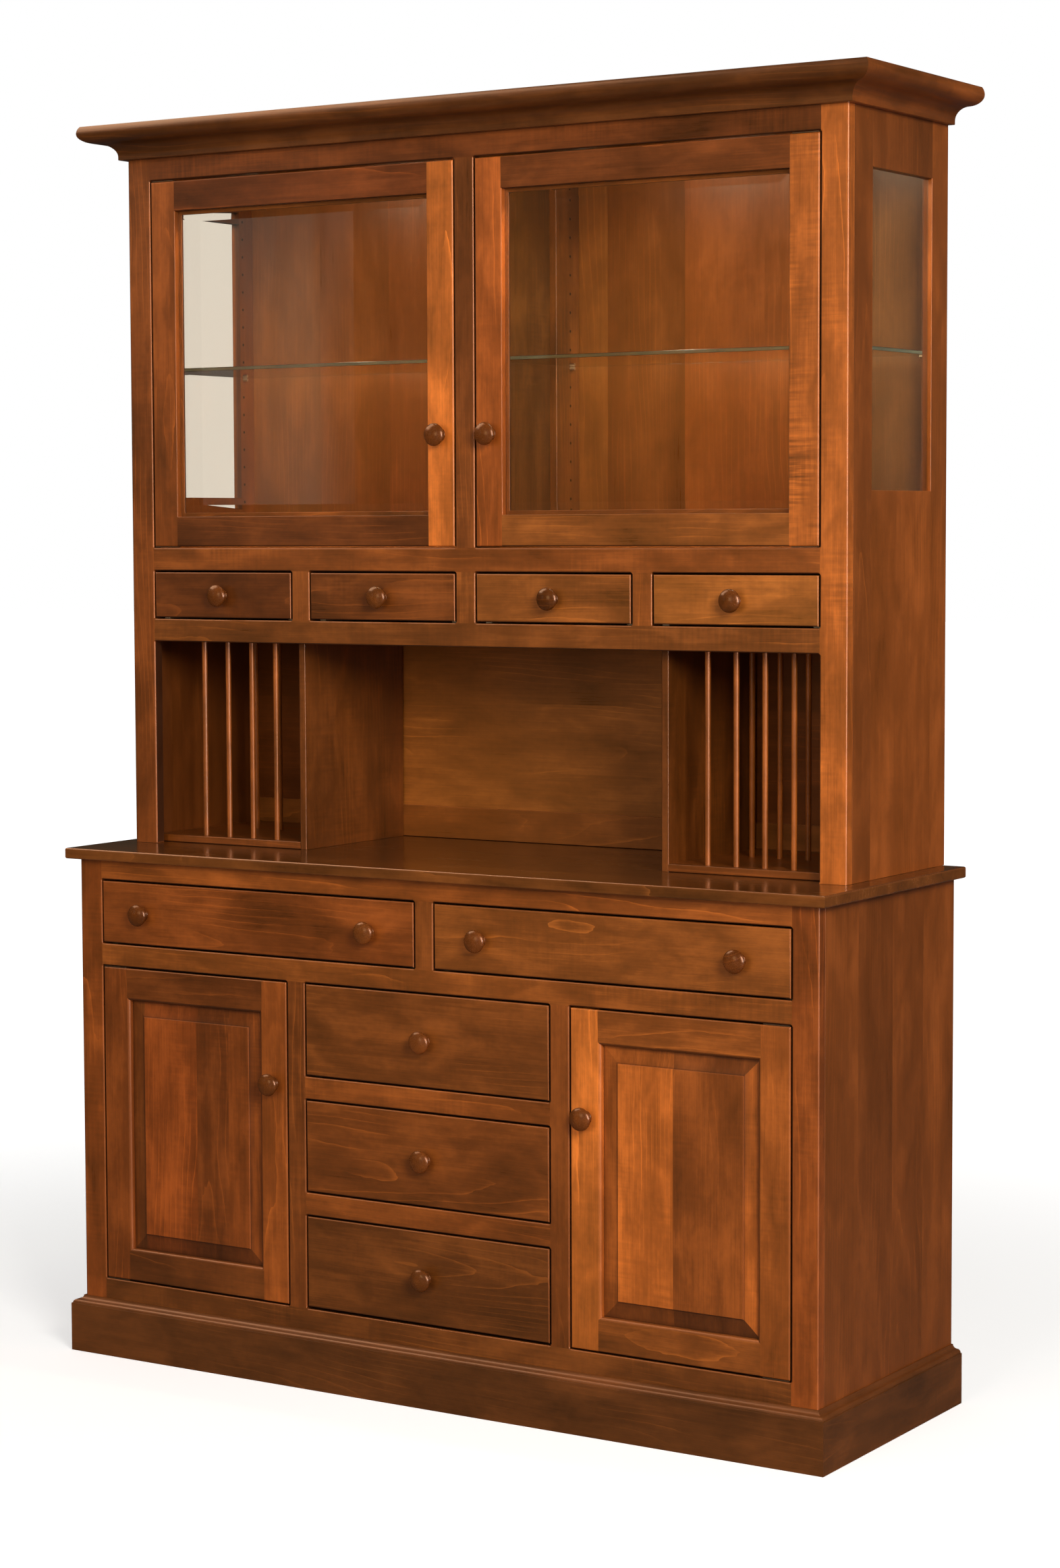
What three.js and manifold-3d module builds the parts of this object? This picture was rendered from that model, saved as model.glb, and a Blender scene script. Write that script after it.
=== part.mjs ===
// Dresser with hutch in stained maple.
// A buffet of five inset drawers and two inset panelled doors stands on a moulded plinth.
// A shallower hutch stands on the buffet: two glazed doors and four small drawers above an
// open niche, with a plate rack at each end of the niche and stemware rails under its ceiling.
// Millimetres. X runs across, Y from front to back, Z up from the floor.

import * as THREE from 'three';
import { mergeVertices } from 'three/addons/utils/BufferGeometryUtils.js';
import Module from 'manifold-3d';

const wasm = await Module();
wasm.setup();

// Overall sizes
const baseWidth = 1450;
const baseDepth = 483;
const baseHeight = 894;
const hutchHeight = 1260;
const hutchInset = 20;
const hutchSetback = 130;

// Stock, fits and edges
const topThickness = 19;
const faceThickness = 20;
const sideThickness = 19;
const shelfThickness = 19;
const backThickness = 6;
const seat = 0.3;
const reveal = 2.2;
const eased = 3;
const softened = 1.5;
const overrun = 5;

// Buffet face frame
const outerStile = 47;
const innerStile = 37;
const centreStile = 37;
const rail = 38;
const baseTopRail = 35;
const baseFloorHeight = 134;
const baseBottomRail = 74;
const wideOpeningHeight = 113;
const baseDoorOpening = 399;
const middleDrawerCount = 3;

// Buffet top and plinth
const topSideOverhang = 19;
const topFrontOverhang = 19;
const topBackOverhang = 4;
const plinthThickness = 19;
const plinthFaceHeight = 85;
const plinthQuirk = 2;
const plinthMouldHeight = 13;
const plinthLip = 3;
const plinthBead = 6;

// Hutch face frame, back and crown
const hutchStile = 48;
const hutchCentreStile = 39;
const hutchRail = 39;
const displayRail = 41;
const nicheHeight = 359;
const smallOpeningHeight = 85;
const smallStile = 38;
const hutchBackThickness = 19;
const backRailHeight = 57;
const backRailProud = 3;
const crownHeight = 57;
const crownProjection = 64;
const crownFoot = 12;
const crownFootHeight = 6;
const crownCove = 25;
const crownCoveHeight = 21.5;
const crownWidestHeight = 44;
const crownNose = 14;
const crownNoseRise = 17;
const crownTopDrop = 5;
const crownLap = 10;

// Doors, panels and glass
const doorStile = 56;
const stickWidth = 5;
const grooveSetback = 10;
const grooveDepth = 9;
const panelPlay = 1.5;
const panelTongue = 5;
const fieldMargin = 29;
const fieldDepth = 5;
const fieldStep = 1.5;
const glassEdge = 3;
const glassThickness = 5;
const glassBevel = 20;

// Side windows of the hutch
const windowFrontStile = 78;
const windowBackStile = 53;
const windowTopRail = 84;
const windowBottomRail = 83;
const windowRebate = 6;
const windowGlass = 4;

// Knobs and knife hinges
const knobRadius = 19;
const knobProjection = 26;
const wideKnobSpacing = 477;
const baseDoorKnobRise = 378;
const hutchDoorKnobRise = 187;
const hingePinRadius = 1.75;
const hingePinLength = 9;
const hingePinFromEdge = 5.5;
const hingePinFromFace = 4.2;
const hingeLeafLength = 42;
const hingeLeafTail = 4.2;
const hingeLeafWidth = 11;
const hingeLeafSetback = 1;

// Drawer boxes and runners
const drawerWall = 12;
const drawerBottom = 6;
const boxClearance = 6;
const boxHeadroom = 18;
const boxRearClearance = 20;
const bottomRise = 6;
const runnerWidth = 28;
const runnerHeight = 19;

// Glass shelves, pegs and centre partition
const shelfGlass = 6;
const shelfRise = 309;
const shelfEnd = 2;
const shelfSetback = 22;
const pegRadius = 3;
const pegReach = 9;
const pegFromEdge = 30;
const partitionStrip = 76;
const partitionWidth = 38;
const partitionPanel = 12;
const cupboardShelfRise = 266;
const cupboardShelfSetback = 25;

// Plate racks and stemware rails
const rackBoard = 12.7;
const rackInset = 350;
const rackSetback = 14;
const dowelRadius = 4.75;
const dowelCount = 4;
const dowelSpacing = 52;
const dowelFromDivider = 63;
const dowelFromFront = 18;
const dowelRowSpacing = 150;
const rackRailWidth = 28;
const rackRailHeight = 12;
const stemRailCount = 7;
const stemEndGap = 34;
const stemNeckWidth = 14;
const stemFlangeWidth = 42;
const stemFlangeHeight = 7;
const stemRailDrop = 17;
const stemRearBar = 14;

// Facets
const knobSegments = 16;
const dowelSegments = 10;
const pegSegments = 8;
const curveSteps = 5;
const roundSteps = 2;

// Worked out from the sizes above
const halfBase = baseWidth / 2;
const carcassTop = baseHeight - topThickness;
const wideFloorHeight = carcassTop - baseTopRail - wideOpeningHeight;
const lowerTop = wideFloorHeight - rail;
const middleHeight = (lowerTop - baseFloorHeight - (middleDrawerCount - 1) * rail) / middleDrawerCount;
const middleHalf = halfBase - outerStile - baseDoorOpening - innerStile;
const baseInnerHalf = halfBase - sideThickness;
const baseBackFace = baseDepth - backThickness;
const interiorFront = faceThickness + seat;

const halfHutch = halfBase - hutchInset;
const hutchBack = baseDepth + topBackOverhang;
const hutchBackFace = hutchBack - hutchBackThickness;
const hutchInnerHalf = halfHutch - sideThickness;
const hutchInterior = hutchSetback + faceThickness + seat;
const hutchFoot = baseHeight + seat;
const nicheTop = baseHeight + nicheHeight;
const bayFloorTop = nicheTop + hutchRail;
const bayTop = bayFloorTop + smallOpeningHeight;
const displayFloorTop = bayTop + displayRail;
const crownBottom = baseHeight + hutchHeight - crownHeight;
const displayTop = crownBottom - hutchRail;
const hutchCarcassTop = baseHeight + hutchHeight - crownTopDrop - topThickness;
const smallWidth = (halfHutch - hutchStile - hutchCentreStile / 2 - smallStile) / 2;
const shelfUnderside = displayFloorTop + shelfRise;
const nicheCeiling = bayFloorTop - shelfThickness - seat;
const rackDivider = halfHutch - rackInset;

// The origin is on the floor under the middle of the whole piece, knobs and top included.
const faceY = (knobProjection - hutchBack) / 2;

const finishes = {
  maple: new THREE.MeshStandardMaterial({ color: 0x7b4423, roughness: 0.32, metalness: 0 }),
  knobMaple: new THREE.MeshStandardMaterial({ color: 0x6a3a1e, roughness: 0.28, metalness: 0 }),
  glass: new THREE.MeshStandardMaterial({ color: 0xe6efec, roughness: 0.04, metalness: 0 }),
  steel: new THREE.MeshStandardMaterial({ color: 0x9a9a98, roughness: 0.35, metalness: 1 }),
};

const dresser = new THREE.Group();
dresser.position.y = faceY;

function addPiece(name, geometry, finish, parent = dresser) {
  const mesh = new THREE.Mesh(geometry, finish.clone());
  mesh.name = name;
  parent.add(mesh);
  return mesh;
}

// Solids and booleans

function toSolid(geometry) {
  const bare = geometry.clone();
  bare.deleteAttribute('normal');
  bare.deleteAttribute('uv');
  const merged = mergeVertices(bare);
  return new wasm.Manifold(new wasm.Mesh({
    numProp: 3,
    vertProperties: new Float32Array(merged.attributes.position.array),
    triVerts: new Uint32Array(merged.index.array),
  }));
}

function toGeometry(solid) {
  const mesh = solid.getMesh();
  const geometry = new THREE.BufferGeometry();
  geometry.setAttribute('position', new THREE.BufferAttribute(mesh.vertProperties, 3));
  geometry.setIndex(new THREE.BufferAttribute(mesh.triVerts, 1));
  return geometry;
}

function join(...geometries) {
  const solids = geometries.map(toSolid);
  return toGeometry(solids.reduce((whole, solid) => whole.add(solid)));
}

function cut(geometry, ...tools) {
  const start = toSolid(geometry);
  return toGeometry(tools.reduce((rest, tool) => rest.subtract(toSolid(tool)), start));
}

// A block between two limits on each axis
function block(x0, x1, y0, y1, z0, z1) {
  const geometry = new THREE.BoxGeometry(x1 - x0, y1 - y0, z1 - z0);
  return geometry.translate((x0 + x1) / 2, (y0 + y1) / 2, (z0 + z1) / 2);
}

// The same block on the left or the right of the middle, by distances out from it
function sideBlock(side, inner, outer, ...limits) {
  return block(Math.min(side * inner, side * outer), Math.max(side * inner, side * outer), ...limits);
}

// A skin over rings of points with equal counts: a loop of rings, or a row closed by two caps
// of the flat outline that every ring repeats
function skin(rings, outline, isLoop) {
  const count = outline.length;
  const positions = rings.flat().flatMap((p) => [p.x, p.y, p.z]);
  const index = [];
  const last = isLoop ? rings.length : rings.length - 1;
  for (let i = 0; i < last; i += 1) {
    const here = i * count;
    const next = ((i + 1) % rings.length) * count;
    for (let j = 0; j < count; j += 1) {
      const k = (j + 1) % count;
      index.push(here + j, here + k, next + k, here + j, next + k, next + j);
    }
  }
  if (!isLoop) {
    const isClockwise = THREE.ShapeUtils.isClockWise(outline);
    const end = (rings.length - 1) * count;
    for (const [a, p, q] of THREE.ShapeUtils.triangulateShape(outline, [])) {
      const [b, c] = isClockwise ? [q, p] : [p, q];
      index.push(a, c, b, end + a, end + b, end + c);
    }
  }
  const geometry = new THREE.BufferGeometry();
  geometry.setAttribute('position', new THREE.Float32BufferAttribute(positions, 3));
  geometry.setIndex(index);
  return facedOutwards(geometry);
}

// Turns every triangle round when the signed volume says that the skin faces inwards
function facedOutwards(geometry) {
  const at = geometry.attributes.position;
  const index = geometry.index.array;
  const [a, b, c] = [new THREE.Vector3(), new THREE.Vector3(), new THREE.Vector3()];
  let volume = 0;
  for (let i = 0; i < index.length; i += 3) {
    a.fromBufferAttribute(at, index[i]);
    b.fromBufferAttribute(at, index[i + 1]);
    c.fromBufferAttribute(at, index[i + 2]);
    volume += a.dot(b.cross(c));
  }
  if (volume < 0) {
    for (let i = 0; i < index.length; i += 3) {
      [index[i + 1], index[i + 2]] = [index[i + 2], index[i + 1]];
    }
  }
  return geometry;
}

const corners = [[-1, -1], [1, -1], [1, 1], [-1, 1]].map(([x, y]) => new THREE.Vector2(x, y));

// Rectangles stacked along Y, each given as half width, half height and depth
function stack(sections) {
  const rings = sections.map(([halfWidth, halfHeight, depth]) => corners.map(
    (corner) => new THREE.Vector3(corner.x * halfWidth, depth, corner.y * halfHeight),
  ));
  return skin(rings, corners, false);
}

// Sections of a quarter round over an edge of the given radius, from the face inwards
function roundOver(halfWidth, halfHeight, radius) {
  const sections = [];
  for (let i = 0; i <= roundSteps; i += 1) {
    const angle = (i / roundSteps) * Math.PI / 2;
    const inset = radius * (1 - Math.sin(angle));
    sections.push([halfWidth - inset, halfHeight - inset, radius * (1 - Math.cos(angle))]);
  }
  return sections;
}

// A moulding carried round the left, front and right of a carcass and mitred at the corners.
// The outline gives distance out from the carcass and height.
function mouldingRound(outline, half, front, back) {
  const stops = [[-half, back, -1, 0], [-half, front, -1, -1], [half, front, 1, -1], [half, back, 1, 0]];
  const rings = stops.map(([x, y, outX, outY]) => outline.map(
    (p) => new THREE.Vector3(x + outX * p.x, y + outY * p.x, p.y),
  ));
  return skin(rings, outline, false);
}

// A frame of one section mitred round a rectangle. The outline gives distance in from the
// outer edge and depth behind the face.
function mitredFrame(outline, width, height) {
  const rings = corners.map((corner) => outline.map(
    (p) => new THREE.Vector3(corner.x * (width / 2 - p.x), p.y, corner.y * (height / 2 - p.x)),
  ));
  return skin(rings, outline, true);
}

// Points of an ellipse about a centre, between two angles in quarter turns
function arc(centreX, centreY, radiusX, radiusY, from, to, steps = curveSteps) {
  const points = [];
  for (let i = 0; i <= steps; i += 1) {
    const angle = (from + (to - from) * (i / steps)) * Math.PI / 2;
    points.push(new THREE.Vector2(centreX + radiusX * Math.cos(angle), centreY + radiusY * Math.sin(angle)));
  }
  return points;
}

// A face frame: a board with its openings cut through, each given by limits in X and Z
function faceFrame(halfWidth, front, foot, top, openings) {
  const back = front + faceThickness;
  const board = block(-halfWidth, halfWidth, front, back, foot, top);
  return cut(board, ...openings.map((o) => block(o.x0, o.x1, front - overrun, back + overrun, o.z0, o.z1)));
}

// An upright rod from one height to another
function rod(x, y, z0, z1, radius, segments) {
  const geometry = new THREE.CylinderGeometry(radius, radius, z1 - z0, segments);
  return geometry.rotateX(Math.PI / 2).translate(x, y, (z0 + z1) / 2);
}

// Openings of the two face frames, by limits in X and Z

function sideOpening(side, inner, outer, z0, z1) {
  return { side, x0: Math.min(side * inner, side * outer), x1: Math.max(side * inner, side * outer), z0, z1 };
}

const baseOuter = halfBase - outerStile;
const hutchOuter = halfHutch - hutchStile;
const hutchInner = hutchCentreStile / 2;

const wideOpenings = [-1, 1].map((side) => sideOpening(
  side, centreStile / 2, baseOuter, wideFloorHeight, wideFloorHeight + wideOpeningHeight,
));

const baseDoorOpenings = [-1, 1].map((side) => sideOpening(
  side, baseOuter - baseDoorOpening, baseOuter, baseFloorHeight, lowerTop,
));

const middleOpenings = Array.from({ length: middleDrawerCount }, (_, i) => {
  const z1 = lowerTop - i * (middleHeight + rail);
  return { x0: -middleHalf, x1: middleHalf, z0: z1 - middleHeight, z1 };
});

const hutchDoorOpenings = [-1, 1].map((side) => sideOpening(
  side, hutchInner, hutchOuter, displayFloorTop, displayTop,
));

const smallOpenings = [
  sideOpening(-1, hutchOuter - smallWidth, hutchOuter, bayFloorTop, bayTop),
  sideOpening(-1, hutchInner, hutchInner + smallWidth, bayFloorTop, bayTop),
  sideOpening(1, hutchInner, hutchInner + smallWidth, bayFloorTop, bayTop),
  sideOpening(1, hutchOuter - smallWidth, hutchOuter, bayFloorTop, bayTop),
];

// Buffet carcass

function buildBaseFaceFrame() {
  const footGap = { x0: -baseOuter, x1: baseOuter, z0: -overrun, z1: baseFloorHeight - baseBottomRail };
  const openings = [...wideOpenings, ...baseDoorOpenings, ...middleOpenings, footGap];
  addPiece('base_face_frame', faceFrame(halfBase, 0, 0, carcassTop - seat, openings), finishes.maple);
}

function buildBaseSides() {
  for (const side of [-1, 1]) {
    const panel = sideBlock(side, baseInnerHalf, halfBase, interiorFront, baseDepth, 0, carcassTop - seat);
    addPiece(side < 0 ? 'base_side_left' : 'base_side_right', panel, finishes.maple);
  }
}

function buildBaseBack() {
  const half = baseInnerHalf - seat;
  const bottom = baseFloorHeight - shelfThickness;
  const panel = block(-half, half, baseBackFace, baseDepth, bottom, carcassTop - seat);
  addPiece('base_back', panel, finishes.maple);
}

// Deck, upright partitions, dust board, cupboard shelves and runners, glued up as one frame
function buildBaseInnerFrame() {
  const half = baseInnerHalf - seat;
  const front = interiorFront;
  const back = baseBackFace - seat;
  const deckBottom = baseFloorHeight - shelfThickness;
  const dustBottom = wideFloorHeight - shelfThickness;
  const shelfTop = baseFloorHeight + cupboardShelfRise;
  const partition = middleHalf + innerStile / 2;
  const inner = partition - shelfThickness / 2;
  const outer = partition + shelfThickness / 2;
  const pieces = [
    block(-half, half, front, back, deckBottom, baseFloorHeight),
    block(-half, half, front, back, dustBottom, wideFloorHeight),
    block(-shelfThickness / 2, shelfThickness / 2, front, back, dustBottom, carcassTop - seat),
  ];
  for (const side of [-1, 1]) {
    pieces.push(sideBlock(side, inner, outer, front, back, deckBottom, wideFloorHeight));
    pieces.push(sideBlock(
      side, partition, half, front + cupboardShelfSetback, back, shelfTop - shelfThickness, shelfTop,
    ));
    for (const opening of middleOpenings.slice(0, -1)) {
      pieces.push(sideBlock(
        side, inner - runnerWidth, partition, front, back, opening.z0 - runnerHeight, opening.z0,
      ));
    }
  }
  addPiece('base_inner_frame', join(...pieces), finishes.maple);
}

function buildBaseTop() {
  const halfWidth = halfBase + topSideOverhang;
  const depth = topFrontOverhang + hutchBack;
  const edge = roundOver(halfWidth, depth / 2, eased);
  const far = edge.map(([w, d, inset]) => [w, d, topThickness - inset]).reverse();
  const board = stack([...edge, ...far]).rotateX(Math.PI / 2);
  board.translate(0, (hutchBack - topFrontOverhang) / 2, carcassTop);
  addPiece('base_top', board, finishes.maple);
}

// Plinth boards with a quirk, a bead and a cove worked along their top edge
function buildPlinth() {
  const top = plinthFaceHeight + plinthMouldHeight;
  const beadOut = plinthThickness - plinthQuirk;
  const beadTop = plinthFaceHeight + plinthBead;
  const coveOut = beadOut - plinthBead;
  const outline = [
    new THREE.Vector2(seat, 0),
    new THREE.Vector2(plinthThickness, 0),
    new THREE.Vector2(plinthThickness, plinthFaceHeight),
    new THREE.Vector2(beadOut, plinthFaceHeight),
    ...arc(coveOut, plinthFaceHeight, plinthBead, plinthBead, 0, 1).slice(1),
    ...arc(coveOut, top, coveOut - plinthLip, top - beadTop, 3, 2).slice(1),
    new THREE.Vector2(seat, top),
  ];
  addPiece('plinth', mouldingRound(outline, halfBase, 0, baseDepth), finishes.maple);
}

// Hutch carcass

function buildHutchFaceFrame() {
  const niche = { x0: -hutchOuter, x1: hutchOuter, z0: hutchFoot - overrun, z1: nicheTop };
  const openings = [...hutchDoorOpenings, ...smallOpenings, niche];
  const frame = faceFrame(halfHutch, hutchSetback, hutchFoot, hutchCarcassTop, openings);
  addPiece('hutch_face_frame', frame, finishes.maple);
}

// Sides with a window, the groove that holds its glass, and two pegs for the glass shelf
function buildHutchSides() {
  const windowFront = hutchSetback + windowFrontStile;
  const windowBack = hutchBack - windowBackStile;
  const windowTop = crownBottom - windowTopRail;
  const windowBottom = displayFloorTop + windowBottomRail;
  const halfDepth = (windowBack - windowFront) / 2;
  const halfHeight = (windowTop - windowBottom) / 2;
  const middleX = hutchInnerHalf + sideThickness / 2;
  const middleY = (windowFront + windowBack) / 2;
  const middleZ = (windowTop + windowBottom) / 2;
  const pane = (margin) => new THREE.BoxGeometry(
    windowGlass + 2 * margin, 2 * (halfDepth + margin), 2 * (halfHeight + margin),
  );
  for (const side of [-1, 1]) {
    const name = side < 0 ? 'left' : 'right';
    const board = sideBlock(
      side, hutchInnerHalf, halfHutch, hutchInterior, hutchBack, hutchFoot, hutchCarcassTop,
    );
    const hole = sideBlock(
      side, hutchInnerHalf - overrun, halfHutch + overrun,
      windowFront + windowRebate, windowBack - windowRebate,
      windowBottom + windowRebate, windowTop - windowRebate,
    );
    const bevel = stack([
      [halfDepth + overrun, halfHeight + overrun, -overrun],
      [halfDepth - windowRebate, halfHeight - windowRebate, windowRebate],
    ]).rotateZ(side * Math.PI / 2).translate(side * halfHutch, middleY, middleZ);
    const groove = pane(seat).translate(side * middleX, middleY, middleZ);
    const pegs = pegDepths().map((y) => peg(side * hutchInnerHalf, y, -side));
    addPiece(`hutch_side_${name}`, join(cut(board, hole, bevel, groove), ...pegs), finishes.maple);
    addPiece(`side_glass_${name}`, pane(0).translate(side * middleX, middleY, middleZ), finishes.glass);
  }
}

function pegDepths() {
  return [hutchInterior + shelfSetback + pegFromEdge, hutchBackFace - seat - pegFromEdge];
}

// A short shelf peg that stands out of an upright face, just under the glass shelf
function peg(faceX, y, outward) {
  const root = pegReach / 2;
  const length = pegReach + root;
  const geometry = new THREE.CylinderGeometry(pegRadius, pegRadius, length, pegSegments);
  geometry.rotateZ(Math.PI / 2);
  return geometry.translate(faceX + outward * (length / 2 - root), y, shelfUnderside - seat - pegRadius);
}

// A flat back glued up from boards, and a rail along the foot of the niche
function buildHutchBack() {
  const half = hutchInnerHalf - seat;
  const boards = block(-half, half, hutchBackFace, hutchBack, hutchFoot, hutchCarcassTop);
  const bottomRail = block(
    -half, half, hutchBackFace - backRailProud, hutchBackFace + backRailProud,
    hutchFoot, baseHeight + backRailHeight,
  );
  addPiece('hutch_back', join(boards, bottomRail), finishes.maple);
}

// Drawer bay floor, display floor, drawer dividers and the centre partition with its pegs
function buildHutchInnerFrame() {
  const half = hutchInnerHalf - seat;
  const front = hutchInterior;
  const back = hutchBackFace - seat;
  const bayBottom = bayFloorTop - shelfThickness;
  const displayBottom = displayFloorTop - shelfThickness;
  const divider = smallOpenings[2].x1 + smallStile / 2;
  const strip = partitionWidth / 2;
  const pieces = [
    block(-half, half, front, back, bayBottom, bayFloorTop),
    block(-half, half, front, back, displayBottom, displayFloorTop),
    block(-partitionPanel / 2, partitionPanel / 2, front, back, displayBottom, hutchCarcassTop),
    block(-strip, strip, front, front + partitionStrip, displayBottom, hutchCarcassTop),
    block(-strip, strip, back - partitionStrip, back, displayBottom, hutchCarcassTop),
  ];
  for (const x of [-divider, 0, divider]) {
    pieces.push(block(x - shelfThickness / 2, x + shelfThickness / 2, front, back, bayBottom, displayFloorTop));
  }
  for (const y of pegDepths()) {
    pieces.push(peg(strip, y, 1), peg(-strip, y, -1));
  }
  addPiece('hutch_inner_frame', join(...pieces), finishes.maple);
}

function buildGlassShelves() {
  const inner = partitionWidth / 2 + shelfEnd;
  const outer = hutchInnerHalf - shelfEnd;
  const front = hutchInterior + shelfSetback;
  const back = hutchBackFace - shelfEnd;
  for (const side of [-1, 1]) {
    const shelf = sideBlock(side, inner, outer, front, back, shelfUnderside, shelfUnderside + shelfGlass);
    addPiece(side < 0 ? 'glass_shelf_left' : 'glass_shelf_right', shelf, finishes.glass);
  }
}

// The crown moulding and the board that closes the top of the hutch, glued and nailed together
function buildCrown() {
  const top = baseHeight + hutchHeight;
  const footTop = crownBottom + crownFootHeight;
  const coveReach = crownFoot + crownCove;
  const coveTop = footTop + crownCoveHeight;
  const widest = crownBottom + crownWidestHeight;
  const noseEnd = Math.asin((top - widest) / crownNoseRise) / (Math.PI / 2);
  const outline = [
    new THREE.Vector2(seat, crownBottom),
    new THREE.Vector2(crownFoot, crownBottom),
    ...arc(coveReach, footTop, crownCove, crownCoveHeight, 2, 1),
    ...arc(coveReach, widest, crownProjection - coveReach, widest - coveTop, -1, 0).slice(1),
    ...arc(crownProjection - crownNose, widest, crownNose, crownNoseRise, 0, noseEnd).slice(1),
    new THREE.Vector2(seat, top),
  ];
  const moulding = mouldingRound(outline, halfHutch, hutchSetback, hutchBack);
  const half = halfHutch + crownLap;
  const board = block(
    -half, half, hutchSetback - crownLap, hutchBack, hutchCarcassTop + seat, hutchCarcassTop + topThickness,
  );
  addPiece('crown', join(moulding, board), finishes.maple);
}

// Plate racks: divider, floor, two rails and two rows of dowels, glued up as one piece
function buildPlateRacks() {
  const front = hutchInterior + rackSetback;
  const back = hutchBackFace - backRailProud - seat;
  const wall = rackDivider + rackBoard;
  const half = hutchInnerHalf - seat;
  const floorTop = hutchFoot + rackBoard;
  const railBottom = nicheCeiling - rackRailHeight;
  const rows = [front + dowelFromFront, front + dowelFromFront + dowelRowSpacing];
  for (const side of [-1, 1]) {
    const pieces = [
      sideBlock(side, rackDivider, wall, front, back, hutchFoot, nicheCeiling),
      sideBlock(side, wall - rackBoard / 2, half, front, back, hutchFoot, floorTop),
    ];
    for (const y of rows) {
      const railLimits = [y - rackRailWidth / 2, y + rackRailWidth / 2, railBottom, nicheCeiling];
      pieces.push(sideBlock(side, wall - rackBoard / 2, half, ...railLimits));
      for (let i = 0; i < dowelCount; i += 1) {
        const x = side * (wall + dowelFromDivider + i * dowelSpacing);
        const foot = floorTop - rackBoard / 2;
        pieces.push(rod(x, y, foot, nicheCeiling - rackRailHeight / 2, dowelRadius, dowelSegments));
      }
    }
    addPiece(side < 0 ? 'plate_rack_left' : 'plate_rack_right', join(...pieces), finishes.maple);
  }
}

// T-shaped rails that hold the feet of hanging glasses, joined by a bar at the back
function buildStemwareRack() {
  const front = hutchInterior + rackSetback;
  const back = hutchBackFace - seat;
  const bottom = nicheCeiling - stemRailDrop;
  const half = rackDivider - stemEndGap;
  const spacing = (2 * half - stemFlangeWidth) / (stemRailCount - 1);
  const pieces = [block(-half, half, back - stemRearBar, back, bottom, nicheCeiling)];
  for (let i = 0; i < stemRailCount; i += 1) {
    const x = i * spacing + stemFlangeWidth / 2 - half;
    pieces.push(block(x - stemNeckWidth / 2, x + stemNeckWidth / 2, front, back, bottom, nicheCeiling));
    pieces.push(block(
      x - stemFlangeWidth / 2, x + stemFlangeWidth / 2, front, back, bottom, bottom + stemFlangeHeight,
    ));
  }
  addPiece('stemware_rack', join(...pieces), finishes.maple);
}

// Knobs, turned in one piece: shares of the radius and of the projection, from the foot out

const knobShares = [
  [0, 0], [0.5, 0], [0.5, 0.06], [0.38, 0.2], [0.4, 0.34],
  [0.72, 0.42], [0.96, 0.53], [1, 0.63], [0.9, 0.8], [0.58, 0.94], [0, 1],
];

function addKnob(name, x, z, parent) {
  const length = knobProjection - seat;
  const profile = knobShares.map(([r, t]) => new THREE.Vector2(r * knobRadius, t * length));
  const knob = addPiece(name, new THREE.LatheGeometry(profile, knobSegments), finishes.knobMaple, parent);
  knob.rotation.x = Math.PI;
  knob.position.set(x, -seat, z);
}

// Drawers: an inset front with an open box glued to its back

function addDrawer(name, opening, faceDepth, boxEnd, knobPlaces) {
  const group = new THREE.Group();
  group.position.set((opening.x0 + opening.x1) / 2, faceDepth, (opening.z0 + opening.z1) / 2);
  dresser.add(group);
  const halfWidth = (opening.x1 - opening.x0) / 2 - reveal;
  const halfOpening = (opening.z1 - opening.z0) / 2;
  const front = stack([
    ...roundOver(halfWidth, halfOpening - reveal, softened),
    [halfWidth, halfOpening - reveal, faceThickness],
  ]);
  const half = halfWidth - boxClearance;
  const end = boxEnd - faceDepth;
  const foot = seat - halfOpening;
  const top = halfOpening - boxHeadroom;
  const bottom = foot + bottomRise;
  const room = [drawerWall - half, half - drawerWall, faceThickness, end - drawerWall];
  const box = cut(
    block(-half, half, faceThickness / 2, end, foot, top),
    block(...room, bottom + drawerBottom, top + overrun),
    block(...room, foot - overrun, bottom),
  );
  addPiece(name, join(front, box), finishes.maple, group);
  for (const [knobName, x] of knobPlaces) {
    addKnob(knobName, x, 0, group);
  }
}

function buildDrawers() {
  const baseEnd = baseBackFace - boxRearClearance;
  for (const opening of wideOpenings) {
    const name = opening.side < 0 ? 'wide_drawer_left' : 'wide_drawer_right';
    addDrawer(name, opening, 0, baseEnd, [
      [`${name}_knob_1`, -wideKnobSpacing / 2],
      [`${name}_knob_2`, wideKnobSpacing / 2],
    ]);
  }
  middleOpenings.forEach((opening, i) => {
    const name = `middle_drawer_${i + 1}`;
    addDrawer(name, opening, 0, baseEnd, [[`${name}_knob`, 0]]);
  });
  smallOpenings.forEach((opening, i) => {
    const name = `small_drawer_${i + 1}`;
    addDrawer(name, opening, hutchSetback, hutchBackFace - boxRearClearance, [[`${name}_knob`, 0]]);
  });
}

// Doors: a grooved frame round a raised panel or bevelled glass, on two knife hinges

// The section of a door frame: outer edge, face, inner edge, groove and back
function doorSection(grooveWidth) {
  const grooveFloor = doorStile - grooveDepth;
  const grooveBack = grooveSetback + grooveWidth;
  return [
    ...arc(softened, softened, softened, softened, 2, 3, roundSteps),
    ...arc(doorStile - stickWidth, stickWidth, stickWidth, stickWidth, 3, 4, roundSteps),
    new THREE.Vector2(doorStile, grooveSetback),
    new THREE.Vector2(grooveFloor, grooveSetback),
    new THREE.Vector2(grooveFloor, grooveBack),
    new THREE.Vector2(doorStile, grooveBack),
    new THREE.Vector2(doorStile, faceThickness),
    new THREE.Vector2(0, faceThickness),
  ];
}

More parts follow.
